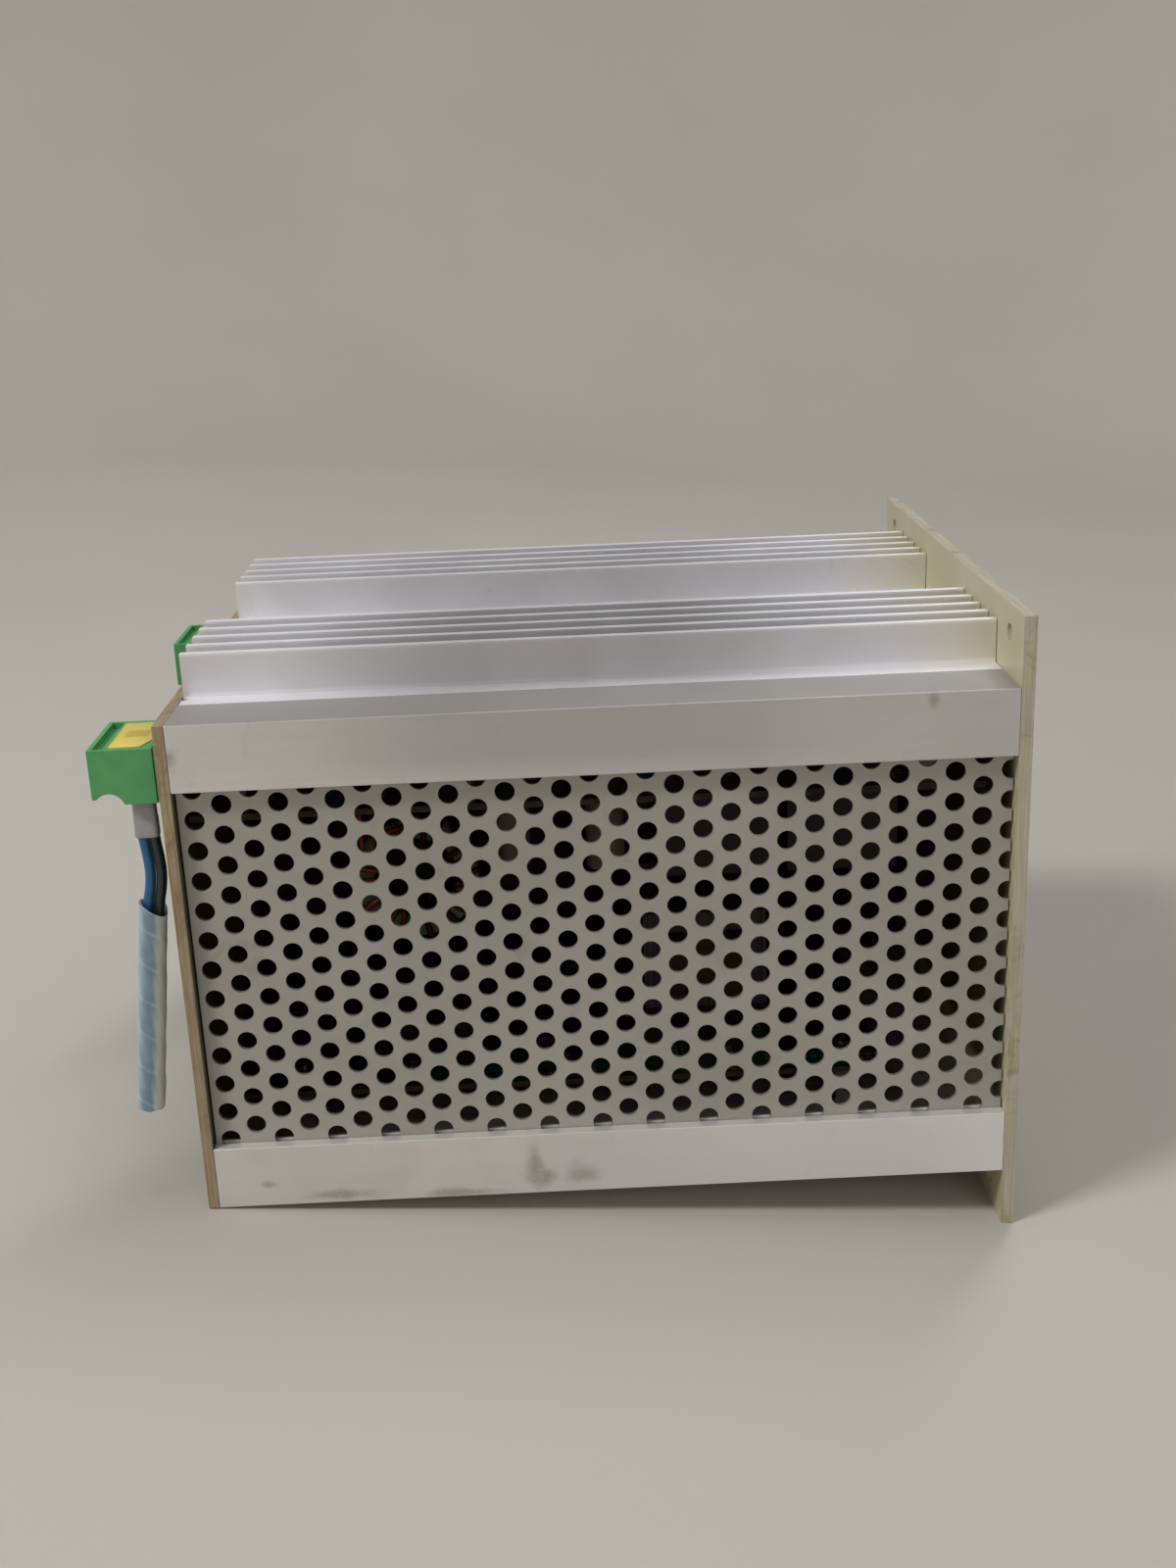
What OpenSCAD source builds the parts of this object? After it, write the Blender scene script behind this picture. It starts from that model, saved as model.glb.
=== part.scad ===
// Power and control cassette of a door drive: a ventilated aluminium body with two finned
// heat sinks on top, a wiring board with pluggable terminal blocks at one end and a flanged
// mounting plate at the other. Millimetres, +Z up. The origin is the centre of the mounting
// plate's outer face; the body lies along -X and the perforated sides face -Y and +Y.

/* [Mounting plate] */
// Depth of the plate, along Y
plate_w = 175; // [174:0.5:178]
// Height of the plate, along Z
plate_h = 165; // [162:1:172]
// Thickness of the plate
plate_t = 3.2; // [3:0.1:4]
// Distance between the corner holes along Y
hole_dy = 148; // [140:1:152]
// Distance between the corner holes along Z
hole_dz = 151; // [149:1:153]
// Diameter of the corner holes
hole_d = 4.5; // [3.5:0.5:5]

/* [Body] */
// Length of the rails between the mounting plate and the wiring board
body_l = 206; // [205.5:0.5:208]
// Height of the body's top face above the origin
top_z = 64.9; // [64.5:0.1:66]
// Height of the body's bottom face, below the origin
bottom_z = -66.8; // [-67.5:0.1:-66.2]
// Thickness of the wiring board at the body's end
board_t = 2.8; // [2:0.2:3.6]
// Height of the rails' side faces
rail_h = 17.2; // [16.8:0.1:17.6]

/* [Perforated sides] */
// Diameter of the ventilation holes
vent_d = 5; // [4:0.5:5.5]
// Distance between neighbouring ventilation holes
vent_pitch = 8; // [7:0.5:10]
// Thickness of the perforated sheet
sheet_t = 1; // [0.6:0.1:1]

/* [Heat sinks] */
// Number of fins on each heat sink
fin_count = 5; // [3:1:6]
// Distance between neighbouring fins
fin_pitch = 9; // [8:0.5:9.5]
// Height of the fins above the body
fin_h = 11.2; // [6:0.2:16]
// Thickness of each fin
fin_t = 2.2; // [1.6:0.2:2.6]
// Distance from the middle of the body to the middle of each heat sink
sink_y = 43; // [41:0.5:44]

/* [Terminal blocks] */
// Distance between neighbouring poles
pole_pitch = 7.62; // [7.5:0.01:7.8]
// Depth of each plug, away from the wiring board
plug_l = 15.9; // [15.5:0.1:16.5]
// Height of each plug
plug_h = 14; // [14:0.1:14.5]

/* [Cable] */
// Diameter of each wire over its insulation
wire_d = 2.7; // [2:0.1:2.7]
// Outer diameter of the spiral sleeve
sleeve_d = 7.6; // [7:0.1:8]
// Length of the sleeve
sleeve_l = 57.8; // [50:0.2:60]

/* [Hidden] */
$fn = 48;
eps = 0.1;

// Body
body_x0 = -plate_t - body_l;
board_x0 = body_x0 - board_t;
half_w = plate_w / 2;

// Rail section, measured in from the side face and in from the top or bottom face
rail_wall = 3.2;
flange_w = 18.3;
flange_t = 2;
ledge_z = 4;
ledge_t = 2;
ledge_w = 24;
groove_w = 1.2;
groove_z = 3.8;
lip_t = 1.2;
top_boss = [7, 3.6];
bottom_boss = [7, 9.2];
boss_r = 3.4;
boss_bore_r = 1.6;

// Perforated sheets
sheet_gap = 0.1;
sheet_top = top_z - rail_h + groove_z - 2 * sheet_gap;
sheet_bottom = bottom_z + rail_h - groove_z + 2 * sheet_gap;
sheet_x0 = body_x0 + 0.4;
sheet_x1 = -plate_t - 0.4;
vent_x_last = -4;
vent_z_first = -48.5;
vent_column = vent_pitch * cos(30);
vent_cols = 1 + floor((vent_x_last - sheet_x0 - vent_d / 2 - 1) / vent_column);
vent_rows = 1 + floor((sheet_top - vent_z_first - vent_d / 2 - 1) / vent_pitch);

// Heat sinks
foot_t = 4;
foot_w = 2 * (half_w - flange_w - 0.2 - sink_y);
foot_z = top_z - foot_t;
foot_end_gap = 0.2;
strip_t = 1.6;
strip_slot = 2;
strip_slot_l = 2.5;
earth_hole = [body_x0 + 0.5, -63.5];
earth_r = 1.3;

// Screws
m3_r = 1.5;
m3_clear_r = 1.6;
head_r = 2.8;
head_h = 2;
end_head_r = 2.8;
end_head_sink = 0.3;
end_screw_l = 14;
drive_w = 0.8;
sink_screw_x = [-195, -17];
sink_screw_y = 21;
sink_hole_l = 3.2;

// Power board, hung under the heat sinks
power_z = 36;
pcb_t = 1.6;
power_top = power_z + pcb_t;
power_x0 = body_x0 + 1;
power_x1 = -8;
power_w = 150;
power_post_x = [-198, -140, -20];
power_post_y = 58;
post_flats = 7;

// Control board, on posts above the bottom cover
cover_top = bottom_z + ledge_z - 0.2;
cover_t = 1.6;
control_z = -50;
control_top = control_z + pcb_t;
control_x1 = -30;
control_w = 120;
control_post_x = [-190, -40];
control_post_y = 50;

// Power transistors under the heat sinks
device = [16, 21, 5];
device_x = [-165, -110, -55];
pad_t = 0.3;
leg_w = 1.2;
leg_t = 0.6;
leg_pitch = 5.45;
device_screw_y = 4.3;

// Choke
choke = [-153, -64.9, 16.6];
core_r = [10.6, 16];
core_l = 12;
turn_w = 1.6;
turn_gap = 0.1;
turns = 24;
lead_x = 13;
lead_z = 24;

// Parts on the boards
power_connector = [9, 90, 8.5];
control_connector = [9, 70, 8.5];
dc_can = [17.5, 50];
dc_can_x = [-95, -50];
dc_can_y = 22;
small_can = [5, 22];
small_can_at = [[-128.7, -56], [-104, -60]];
relay = [29, 13, 25.5];
relay_x = [-74, -42];
relay_y = -55.5;
fuse_at = [-178, 40, 28.5];
fuse_r = 2.6;
fuse_l = 20;
clip_x = 8.5;
clip = [4.8, 7.2, 0.6];
clip_wall = 0.8;
transformer = [-75, -10, control_top];
lamination = [36, 16, 30];
limb_window = [6, 12];
window_z = [6, 24];
coil = [23.2, 28, 17.2];
coil_bore = [12.4, 16.4];
// Each chip as its lowest corner in X and Y, then its length, width and height
chips = [
    [-165, -30, 25, 15, 3.5], [-165, 10, 20, 7, 3.5],
    [-125, 10, 20, 7, 3.5], [-125, -38, 14, 14, 2],
];

// Terminal blocks: u runs out from the header flange, v runs up from the plug's underside
header_t = 1.1;
plug_gap = 0.2;
plug_x = board_x0 - header_t - plug_gap;
plug_z = 44.5;
poles_1 = 3;
poles_2 = 3;
block_end = 1.27;
block_1_y = 3.3 - half_w;
block_2_y = 23.8;
block_1_l = poles_1 * pole_pitch + 2 * block_end;
block_2_l = poles_2 * pole_pitch + 2 * block_end;
pin_w = 1;
pin_v = 11.6;
pin_tip_u = 5.5;
pin_hole = 1.8;
cavity_u = [0.9, 10.3];
cavity_v = [4.2, 13.1];
cavity_y = 3;
wire_u = 4.6;
funnel = [6.4, 3.9];
screw_v = 7.2;
screw_neck_r = 1.4;
screw_bore_r = 2.25;
screw_bore_u = 11;
screw_head_u = 11.1;
screw_head_l = 2.3;
screw_head_r = 2;
screw_shank_r = 1.2;
screw_tip_u = 7.3;
cage_u = [2.4, 10];
cage_window_u = [3.3, 8.3];
cage_y = 2.7;
cage_window_y = 1.9;
cage_v = [4.6, 9.8];
cage_bore_r = 1.26;
bar_u = [6.1, 6.9];
bar_y = 1.6;
bar_v = 4;
fork_u = 1.5;
fork_low_v = [10.1, 10.8];
fork_high_v = [12.4, 12.9];
marker_u = [11.8, 14.7];
marker_depth = 1.6;
scoop = [11.8, -1.1];
scoop_r = 3.9;
lip_v = 1.4;
label_t = 0.3;
label = [9.6, 21];

// Cable: twin ferrule in the first pole, two wires and a sleeve that hangs free
cable_y = block_1_y + block_end + pole_pitch / 2;
cable_x = plug_x - wire_u;
collar = [6, 3.6, 11];
collar_z = 34.4;
ferrule_r = 1.1;
ferrule_top_z = 54;
wire_sides = 8;
sleeve_wall = 0.6;
sleeve_top = [-218.7, cable_y, 16.9];
sleeve_lean = 7;
// Route of each wire from the ferrule collar to its cut end, as [x, z]
blue_route = [
    [-219.1, 34.4], [-218.9, 32], [-218.6, 29], [-218.45, 26], [-218.6, 23], [-219.1, 20],
    [-219.8, 17], [-220.4, 14], [-221.15, 8.4], [-221.85, 2.8], [-222.5, -2.8], [-223.2, -8.4],
    [-223.9, -14], [-224.6, -19.6], [-225.3, -25.2], [-225.95, -30.8], [-226.65, -36.4],
    [-227.05, -39.8],
];
dark_route = [
    [-216.3, 34.4], [-216.1, 32], [-215.8, 29], [-215.65, 26], [-215.8, 23], [-216.3, 20],
    [-217.0, 17], [-217.6, 14], [-218.35, 8.4], [-219.05, 2.8], [-219.7, -2.8], [-220.4, -8.4],
    [-221.1, -14], [-221.8, -19.6], [-222.5, -25.2], [-223.15, -30.8], [-223.85, -36.4],
    [-224.3, -40],
];

// ---- shared shapes ----

// A round bar along X from x0 to x1
module bar_x(x0, x1, r, y = 0, z = 0) {
    translate([x0, y, z]) rotate([0, 90, 0]) cylinder(h = x1 - x0, r = r);
}

// A box given by its lowest and highest corners
module block(low, high) {
    translate(low) cube(high - low);
}

// A section drawn in Y and Z, drawn out along X from x0 to x1
module along_x(x0, x1) {
    translate([x0, 0, 0]) rotate([90, 0, 90]) linear_extrude(x1 - x0) children();
}

// A pan-head screw that points up +Z, with its head's underside at z = 0
module pan_screw(l, r = m3_r) {
    difference() {
        union() {
            cylinder(h = l, r = r);
            translate([0, 0, -head_h]) cylinder(h = head_h, r = head_r);
        }
        for (a = [0, 90])
            rotate(a) translate([-head_r * 0.6, -drive_w / 2, -head_h - eps])
                cube([head_r * 1.2, drive_w, 1 + eps]);
    }
}

// ---- frame ----

// Centres of the four screw channels as [y, z]
function boss_places() = concat(
    [for (side = [-1, 1]) [side * (half_w - top_boss[0]), top_z - top_boss[1]]],
    [for (side = [-1, 1]) [side * (half_w - bottom_boss[0]), bottom_z + bottom_boss[1]]]);

// Countersunk holes for the end screws, through a panel from its face to its inner side
module end_holes(x_face, x_inner) {
    for (p = boss_places()) {
        bar_x(min(x_face, x_inner) - eps, max(x_face, x_inner) + eps, m3_clear_r + 0.1, p[0], p[1]);
        translate([x_face, p[0], p[1]]) rotate([0, x_face > x_inner ? -90 : 90, 0])
            translate([0, 0, -eps])
                cylinder(h = end_head_r + eps, r1 = end_head_r + end_head_sink + eps,
                         r2 = end_head_sink);
    }
}

module mounting_plate() {
    color([0.78, 0.75, 0.62]) difference() {
        block([-plate_t, -half_w, -plate_h / 2], [0, half_w, plate_h / 2]);
        for (y = [-1, 1]) for (z = [-1, 1])
            bar_x(-plate_t - eps, eps, hole_d / 2, y * hole_dy / 2, z * hole_dz / 2);
        end_holes(0, -plate_t);
    }
}

module backplane_board() {
    color([0.62, 0.52, 0.36]) difference() {
        block([board_x0, -half_w, bottom_z], [body_x0, half_w, top_z]);
        end_holes(board_x0, body_x0);
        for (p = pin_places())
            block([board_x0 - eps, p[0] - 0.6, p[1] - 0.6], [body_x0 + eps, p[0] + 0.6, p[1] + 0.6]);
    }
}

// Rail section in the corner y > 0, z > 0, with its outer corner at the origin of the drawing
module rail_section(boss) {
    lip_z = rail_h - groove_z - lip_t;
    difference() {
        union() {
            square([rail_wall, rail_h]);
            square([flange_w, flange_t]);
            translate([0, ledge_z]) square([ledge_w, ledge_t]);
            translate([0, lip_z]) square([rail_wall + groove_w + lip_t, lip_t]);
            translate([rail_wall + groove_w, lip_z]) square([lip_t, groove_z + lip_t]);
            translate(boss) circle(r = boss_r);
            translate([0, min(boss[1], ledge_z)])
                square([boss[0], abs(boss[1] - ledge_z)]);
        }
        translate(boss) circle(r = boss_bore_r);
    }
}

module rail(side, top) {
    color([0.74, 0.73, 0.71]) difference() {
        along_x(body_x0, -plate_t)
            translate([side * half_w, top ? top_z : bottom_z])
                mirror([side > 0 ? 1 : 0, 0]) mirror([0, top ? 1 : 0])
                    rail_section(top ? top_boss : bottom_boss);
        if (top) for (x = sink_screw_x)
            translate([x, side * (half_w - sink_screw_y), top_z - ledge_z - ledge_t - eps])
                cylinder(h = ledge_t + 2 * eps, r = m3_clear_r);
    }
}

module rail_top_front() { rail(-1, true); }
module rail_top_back() { rail(1, true); }
module rail_bottom_front() { rail(-1, false); }
module rail_bottom_back() { rail(1, false); }

// Round holes in staggered columns; the last column breaks out of the sheet's end
module vent_holes() {
    for (c = [0 : vent_cols - 1])
        for (r = [0 : vent_rows - 1 - (c % 2 == 0 ? 1 : 0)])
            translate([vent_x_last - c * vent_column,
                       vent_z_first + (r + (c % 2 == 0 ? 0.5 : 0)) * vent_pitch])
                circle(r = vent_d / 2, $fn = 24);
}

module grille(side) {
    y_in = half_w - rail_wall - sheet_gap;
    color([0.66, 0.65, 0.6])
        translate([0, side > 0 ? y_in : -y_in + sheet_t, 0]) rotate([90, 0, 0])
            linear_extrude(sheet_t) difference() {
                translate([sheet_x0, sheet_bottom])
                    square([sheet_x1 - sheet_x0, sheet_top - sheet_bottom]);
                vent_holes();
            }
}

module grille_front() { grille(-1); }
module grille_back() { grille(1); }

// ---- heat sinks and covers ----

module sink_section() {
    difference() {
        translate([-foot_w / 2, foot_z]) square([foot_w, foot_t]);
        translate([foot_w / 2 - strip_slot_l, foot_z + (foot_t - strip_slot) / 2])
            square([strip_slot_l + eps, strip_slot]);
    }
    for (i = [0 : fin_count - 1])
        translate([(i - (fin_count - 1) / 2) * fin_pitch - fin_t / 2, top_z - eps])
            square([fin_t, fin_h + eps]);
}

module heat_sink(side) {
    color([0.8, 0.81, 0.84]) difference() {
        along_x(body_x0 + foot_end_gap, -plate_t - foot_end_gap)
            translate([side * sink_y, 0]) mirror([side > 0 ? 1 : 0, 0]) sink_section();
        for (x = sink_screw_x)
            translate([x, side * (half_w - sink_screw_y), foot_z - eps])
                cylinder(h = sink_hole_l + eps, r = m3_r + 0.05);
        for (x = power_post_x)
            translate([x, side * power_post_y, foot_z - eps])
                cylinder(h = sink_hole_l + eps, r = m3_r + 0.05);
        for (x = device_x)
            translate([x, side * (sink_y + device_screw_y), foot_z - eps])
                cylinder(h = sink_hole_l + eps, r = m3_r + 0.05);
        if (side < 0)
            translate([earth_hole[0], earth_hole[1], foot_z - eps])
                cylinder(h = foot_t + 2 * eps, r = earth_r);
    }
}

module heat_sink_front() { heat_sink(-1); }
module heat_sink_back() { heat_sink(1); }

module centre_strip() {
    w = sink_y - foot_w / 2 + strip_slot_l - 0.3;
    z = foot_z + (foot_t - strip_t) / 2;
    color([0.76, 0.76, 0.77])
        block([body_x0 + foot_end_gap, -w, z], [-plate_t - foot_end_gap, w, z + strip_t]);
}

module bottom_cover() {
    w = half_w - rail_wall - 0.4;
    color([0.7, 0.7, 0.69]) difference() {
        block([body_x0 + foot_end_gap, -w, cover_top - cover_t],
              [-plate_t - foot_end_gap, w, cover_top]);
        for (x = control_post_x) for (y = [-1, 1])
            translate([x, y * control_post_y, cover_top - cover_t - eps])
                cylinder(h = cover_t + 2 * eps, r = m3_clear_r);
    }
}

// ---- fasteners ----

module sink_screws() {
    color([0.35, 0.35, 0.36])
        for (x = sink_screw_x) for (side = [-1, 1])
            translate([x, side * (half_w - sink_screw_y), top_z - ledge_z - ledge_t])
                pan_screw(ledge_t + sink_hole_l - 0.3);
}

// Countersunk screw along X, with its flat head a little below the face at x = 0
module end_screw() {
    rotate([0, 90, 0]) difference() {
        union() {
            translate([0, 0, end_head_sink])
                cylinder(h = end_head_r - m3_r, r1 = end_head_r - end_head_sink, r2 = m3_r);
            translate([0, 0, end_head_sink]) cylinder(h = end_screw_l, r = m3_r);
        }
        for (a = [0, 90])
            rotate(a) translate([-m3_r, -drive_w / 2, 0]) cube([2 * m3_r, drive_w, 1.3]);
    }
}

module end_screws() {
    color([0.7, 0.69, 0.66]) for (p = boss_places()) {
        translate([board_x0, p[0], p[1]]) end_screw();
        translate([0, p[0], p[1]]) mirror([1, 0, 0]) end_screw();
    }
}

module transistor_screws() {
    color([0.66, 0.66, 0.66])
        for (x = device_x) for (side = [-1, 1])
            translate([x, side * (sink_y + device_screw_y), foot_z - pad_t - device[2]])
                pan_screw(device[2] + pad_t + sink_hole_l - 0.3);
}

module power_standoffs() {
    color([0.72, 0.72, 0.72])
        for (x = power_post_x) for (side = [-1, 1])
            translate([x, side * power_post_y, power_top]) difference() {
                union() {
                    cylinder(h = foot_z - power_top, r = post_flats / sqrt(3), $fn = 6);
                    cylinder(h = foot_z - power_top + sink_hole_l - 0.3, r = m3_r);
                }
                translate([0, 0, -eps]) cylinder(h = 8 + eps, r = m3_r + 0.05);
            }
}

module control_standoffs() {
    color([0.72, 0.72, 0.72])
        for (x = control_post_x) for (y = [-1, 1])
            translate([x, y * control_post_y, cover_top]) difference() {
                union() {
                    cylinder(h = control_z - cover_top, r = post_flats / sqrt(3), $fn = 6);
                    translate([0, 0, -cover_t]) cylinder(h = cover_t + eps, r = m3_r);
                }
                translate([0, 0, control_z - cover_top - 8])
                    cylinder(h = 8 + eps, r = m3_r + 0.05);
            }
}

module board_screws() {
    color([0.7, 0.7, 0.7]) {
        for (x = power_post_x) for (side = [-1, 1])
            translate([x, side * power_post_y, power_z]) pan_screw(pcb_t + 7);
        for (x = control_post_x) for (y = [-1, 1])
            translate([x, y * control_post_y, control_top]) mirror([0, 0, 1]) pan_screw(pcb_t + 7);
    }
}

// ---- electronics ----

module power_board() {
    color([0.1, 0.35, 0.2]) difference() {
        block([power_x0, -power_w / 2, power_z], [power_x1, power_w / 2, power_top]);
        for (x = power_post_x) for (side = [-1, 1])
            translate([x, side * power_post_y, power_z - eps])
                cylinder(h = pcb_t + 2 * eps, r = m3_clear_r);
    }
}

module control_board() {
    color([0.1, 0.35, 0.2]) difference() {
        block([power_x0, -control_w / 2, control_z], [control_x1, control_w / 2, control_top]);
        for (x = control_post_x) for (y = [-1, 1])
            translate([x, y * control_post_y, control_z - eps])
                cylinder(h = pcb_t + 2 * eps, r = m3_clear_r);
    }
}

// Connectors that plug into the back of the wiring board
module board_connectors() {
    color([0.12, 0.12, 0.13]) {
        block([body_x0, -power_connector[1] / 2, power_z - power_connector[2]],
              [body_x0 + power_connector[0], power_connector[1] / 2, power_z]);
        block([body_x0, -control_connector[1] / 2, control_top],
              [body_x0 + control_connector[0], control_connector[1] / 2,
               control_top + control_connector[2]]);
    }
}

// One transistor in its own frame: tab up, hole at the origin, legs towards +Y and down
module transistor() {
    leg_y = device[1] - 6;
    difference() {
        block([-device[0] / 2, -6, -device[2]], [device[0] / 2, leg_y, 0]);
        translate([0, 0, -device[2] - eps]) cylinder(h = device[2] + 2 * eps, r = m3_clear_r + 0.2);
    }
    for (i = [-1 : 1]) translate([i * leg_pitch - leg_w / 2, 0, 0]) {
        block([0, leg_y - eps, -3], [leg_w, leg_y + 4, -3 + leg_t]);
        block([0, leg_y + 4 - leg_t, power_top - foot_z + pad_t], [leg_w, leg_y + 4, -3 + leg_t]);
    }
}

module power_transistors() {
    color([0.13, 0.13, 0.14])
        for (x = device_x) for (side = [-1, 1])
            translate([x, side * (sink_y + device_screw_y), foot_z - pad_t])
                mirror([0, side > 0 ? 1 : 0, 0]) transistor();
}

module insulating_pads() {
    color([0.6, 0.62, 0.64])
        for (x = device_x) for (side = [-1, 1])
            translate([x, side * (sink_y + device_screw_y), foot_z - pad_t])
                mirror([0, side > 0 ? 1 : 0, 0]) difference() {
                    block([-10, -8, 0], [10, 17, pad_t]);
                    translate([0, 0, -eps]) cylinder(h = pad_t + 2 * eps, r = m3_clear_r + 0.2);
                }
}

module choke_core() {
    color([0.25, 0.26, 0.22])
        translate(choke) rotate([90, 0, 0]) translate([0, 0, -core_l / 2]) difference() {
            cylinder(h = core_l, r = core_r[1]);
            translate([0, 0, -eps]) cylinder(h = core_l + 2 * eps, r = core_r[0]);
        }
}

// Square turns round the core, and two leads up to the power board
module choke_winding() {
    outer_l = core_l / 2 + turn_gap + turn_w;
    color([0.62, 0.3, 0.16]) {
        for (i = [0 : turns - 1])
            translate(choke) rotate([0, i * 360 / turns, 0]) difference() {
                block([core_r[0] - turn_gap - turn_w, -outer_l, -turn_w / 2],
                      [core_r[1] + turn_gap + turn_w, outer_l, turn_w / 2]);
                block([core_r[0] - turn_gap, -core_l / 2 - turn_gap, -turn_w],
                      [core_r[1] + turn_gap, core_l / 2 + turn_gap, turn_w]);
            }
        for (side = [-1, 1])
            translate([choke[0] + side * lead_x, choke[1] - outer_l - turn_w / 2, lead_z])
                cylinder(h = power_z - lead_z, r = turn_w / 2);
    }
}

module dc_capacitors() {
    color([0.14, 0.15, 0.2])
        for (x = dc_can_x) translate([x, dc_can_y, power_z - dc_can[1]])
            cylinder(h = dc_can[1], r = dc_can[0]);
}

module small_capacitors() {
    color([0.55, 0.56, 0.55])
        for (p = small_can_at) translate([p[0], p[1], power_z - small_can[1]])
            cylinder(h = small_can[1], r = small_can[0]);
}

module relays() {
    color([0.45, 0.26, 0.14])
        for (x = relay_x)
            block([x - relay[0] / 2, relay_y - relay[1] / 2, power_z - relay[2]],
                  [x + relay[0] / 2, relay_y + relay[1] / 2, power_z]);
}

// Two spring clips, open at the bottom, each with a base under the power board
module fuse_clips() {
    half_y = clip[1] / 2;
    color([0.78, 0.78, 0.76])
        for (side = [-1, 1]) translate([fuse_at[0] + side * clip_x, fuse_at[1], 0])
            difference() {
                block([-clip[0] / 2, -half_y, fuse_at[2] - 2], [clip[0] / 2, half_y, power_z]);
                block([-clip[0], clip_wall - half_y, fuse_at[2] - 2 - eps],
                      [clip[0], half_y - clip_wall, power_z - clip[2]]);
            }
}

module fuse() {
    color([0.8, 0.85, 0.86])
        bar_x(fuse_at[0] - fuse_l / 2, fuse_at[0] + fuse_l / 2, fuse_r, fuse_at[1], fuse_at[2]);
}

module transformer_core() {
    color([0.2, 0.2, 0.21]) translate(transformer) difference() {
        block([-lamination[0] / 2, -lamination[1] / 2, 0],
              [lamination[0] / 2, lamination[1] / 2, lamination[2]]);
        for (side = [0, 1]) mirror([side, 0, 0])
            block([limb_window[0], -lamination[1], window_z[0]],
                  [limb_window[1], lamination[1], window_z[1]]);
    }
}

module transformer_coil() {
    mid_z = (window_z[0] + window_z[1]) / 2;
    color([0.75, 0.62, 0.25]) translate(transformer) difference() {
        block([-coil[0] / 2, -coil[1] / 2, mid_z - coil[2] / 2],
              [coil[0] / 2, coil[1] / 2, mid_z + coil[2] / 2]);
        block([-coil_bore[0] / 2, -coil_bore[1] / 2, window_z[0]],
              [coil_bore[0] / 2, coil_bore[1] / 2, window_z[1]]);
    }
}

module control_chips() {
    color([0.1, 0.1, 0.11])
        for (c = chips)
            block([c[0], c[1], control_top], [c[0] + c[2], c[1] + c[3], control_top + c[4]]);
}

// ---- terminal blocks ----

function pole_y(start, i) = start + block_end + (i + 0.5) * pole_pitch;
function pin_places() = concat(
    [for (i = [0 : poles_1 - 1]) [pole_y(block_1_y, i), plug_z + pin_v]],
    [for (i = [0 : poles_2 - 1]) [pole_y(block_2_y, i), plug_z + pin_v]]);

// A box given in u (out from the header), y and v (up from the plug's underside)
module uv_block(u, y, v) {
    block([plug_x - u[1], y[0], plug_z + v[0]], [plug_x - u[0], y[1], plug_z + v[1]]);
}

module header(start, l) {
    color([0.34, 0.62, 0.4]) difference() {
        block([board_x0 - header_t, start, plug_z], [board_x0, start + l, plug_z + plug_h]);
        for (p = pin_places())
            block([board_x0 - header_t - eps, p[0] - 0.6, p[1] - 0.6],
                  [board_x0 + eps, p[0] + 0.6, p[1] + 0.6]);
    }
}

module header_1() { header(block_1_y, block_1_l); }
module header_2() { header(block_2_y, block_2_l); }

module header_pins() {
    color([0.8, 0.72, 0.45]) for (p = pin_places())
        block([plug_x - pin_tip_u, p[0] - pin_w / 2, p[1] - pin_w / 2],
              [body_x0 + 2, p[0] + pin_w / 2, p[1] + pin_w / 2]);
}

module plug_housing(start, poles) {
    l = poles * pole_pitch + 2 * block_end;
    color([0.25, 0.55, 0.32]) difference() {
        translate([plug_x, start + l, plug_z]) rotate([90, 0, 0]) linear_extrude(l)
            mirror([1, 0]) difference() {
                square([plug_l, plug_h]);
                translate(scoop) circle(r = scoop_r);
                translate([scoop[0], -eps]) square([plug_l, lip_v + eps]);
            }
        uv_block(marker_u, [start + 1, start + l - 1], [plug_h - marker_depth, plug_h + eps]);
        for (i = [0 : poles - 1]) {
            y = pole_y(start, i);
            uv_block(cavity_u, [y - cavity_y, y + cavity_y], cavity_v);
            uv_block([-eps, 1], [y - pin_hole / 2, y + pin_hole / 2],
                     [pin_v - pin_hole / 2, pin_v + pin_hole / 2]);
            uv_block([wire_u - funnel[0] / 2, wire_u + funnel[0] / 2],
                     [y - funnel[1] / 2, y + funnel[1] / 2], [-eps, cavity_v[0] + eps]);
            bar_x(plug_x - screw_bore_u - eps, plug_x - cavity_u[1] + eps, screw_neck_r,
                  y, plug_z + screw_v);
            bar_x(plug_x - plug_l - eps, plug_x - screw_bore_u, screw_bore_r, y, plug_z + screw_v);
        }
    }
}

module plug_contacts(start, poles) {
    color([0.8, 0.72, 0.45]) for (i = [0 : poles - 1]) {
        y = pole_y(start, i);
        uv_block(bar_u, [y - bar_y, y + bar_y], [bar_v, fork_high_v[1]]);
        uv_block([fork_u, bar_u[1]], [y - bar_y, y + bar_y], fork_low_v);
        uv_block([fork_u, bar_u[1]], [y - bar_y, y + bar_y], fork_high_v);
    }
}

module plug_1_housing() { plug_housing(block_1_y, poles_1); }
module plug_2_housing() { plug_housing(block_2_y, poles_2); }
module plug_1_contacts() { plug_contacts(block_1_y, poles_1); }
module plug_2_contacts() { plug_contacts(block_2_y, poles_2); }

// Marker card stuck on top of a plug
module plug_label(start) {
    uv_block([1.2, 1.2 + label[0]], [start + 1.4, start + 1.4 + label[1]],
             [plug_h, plug_h + label_t]);
}

module plug_1_label() { color([0.85, 0.76, 0.35]) plug_label(block_1_y); }
module plug_2_label() { color([0.78, 0.78, 0.79]) plug_label(block_2_y); }

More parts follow.
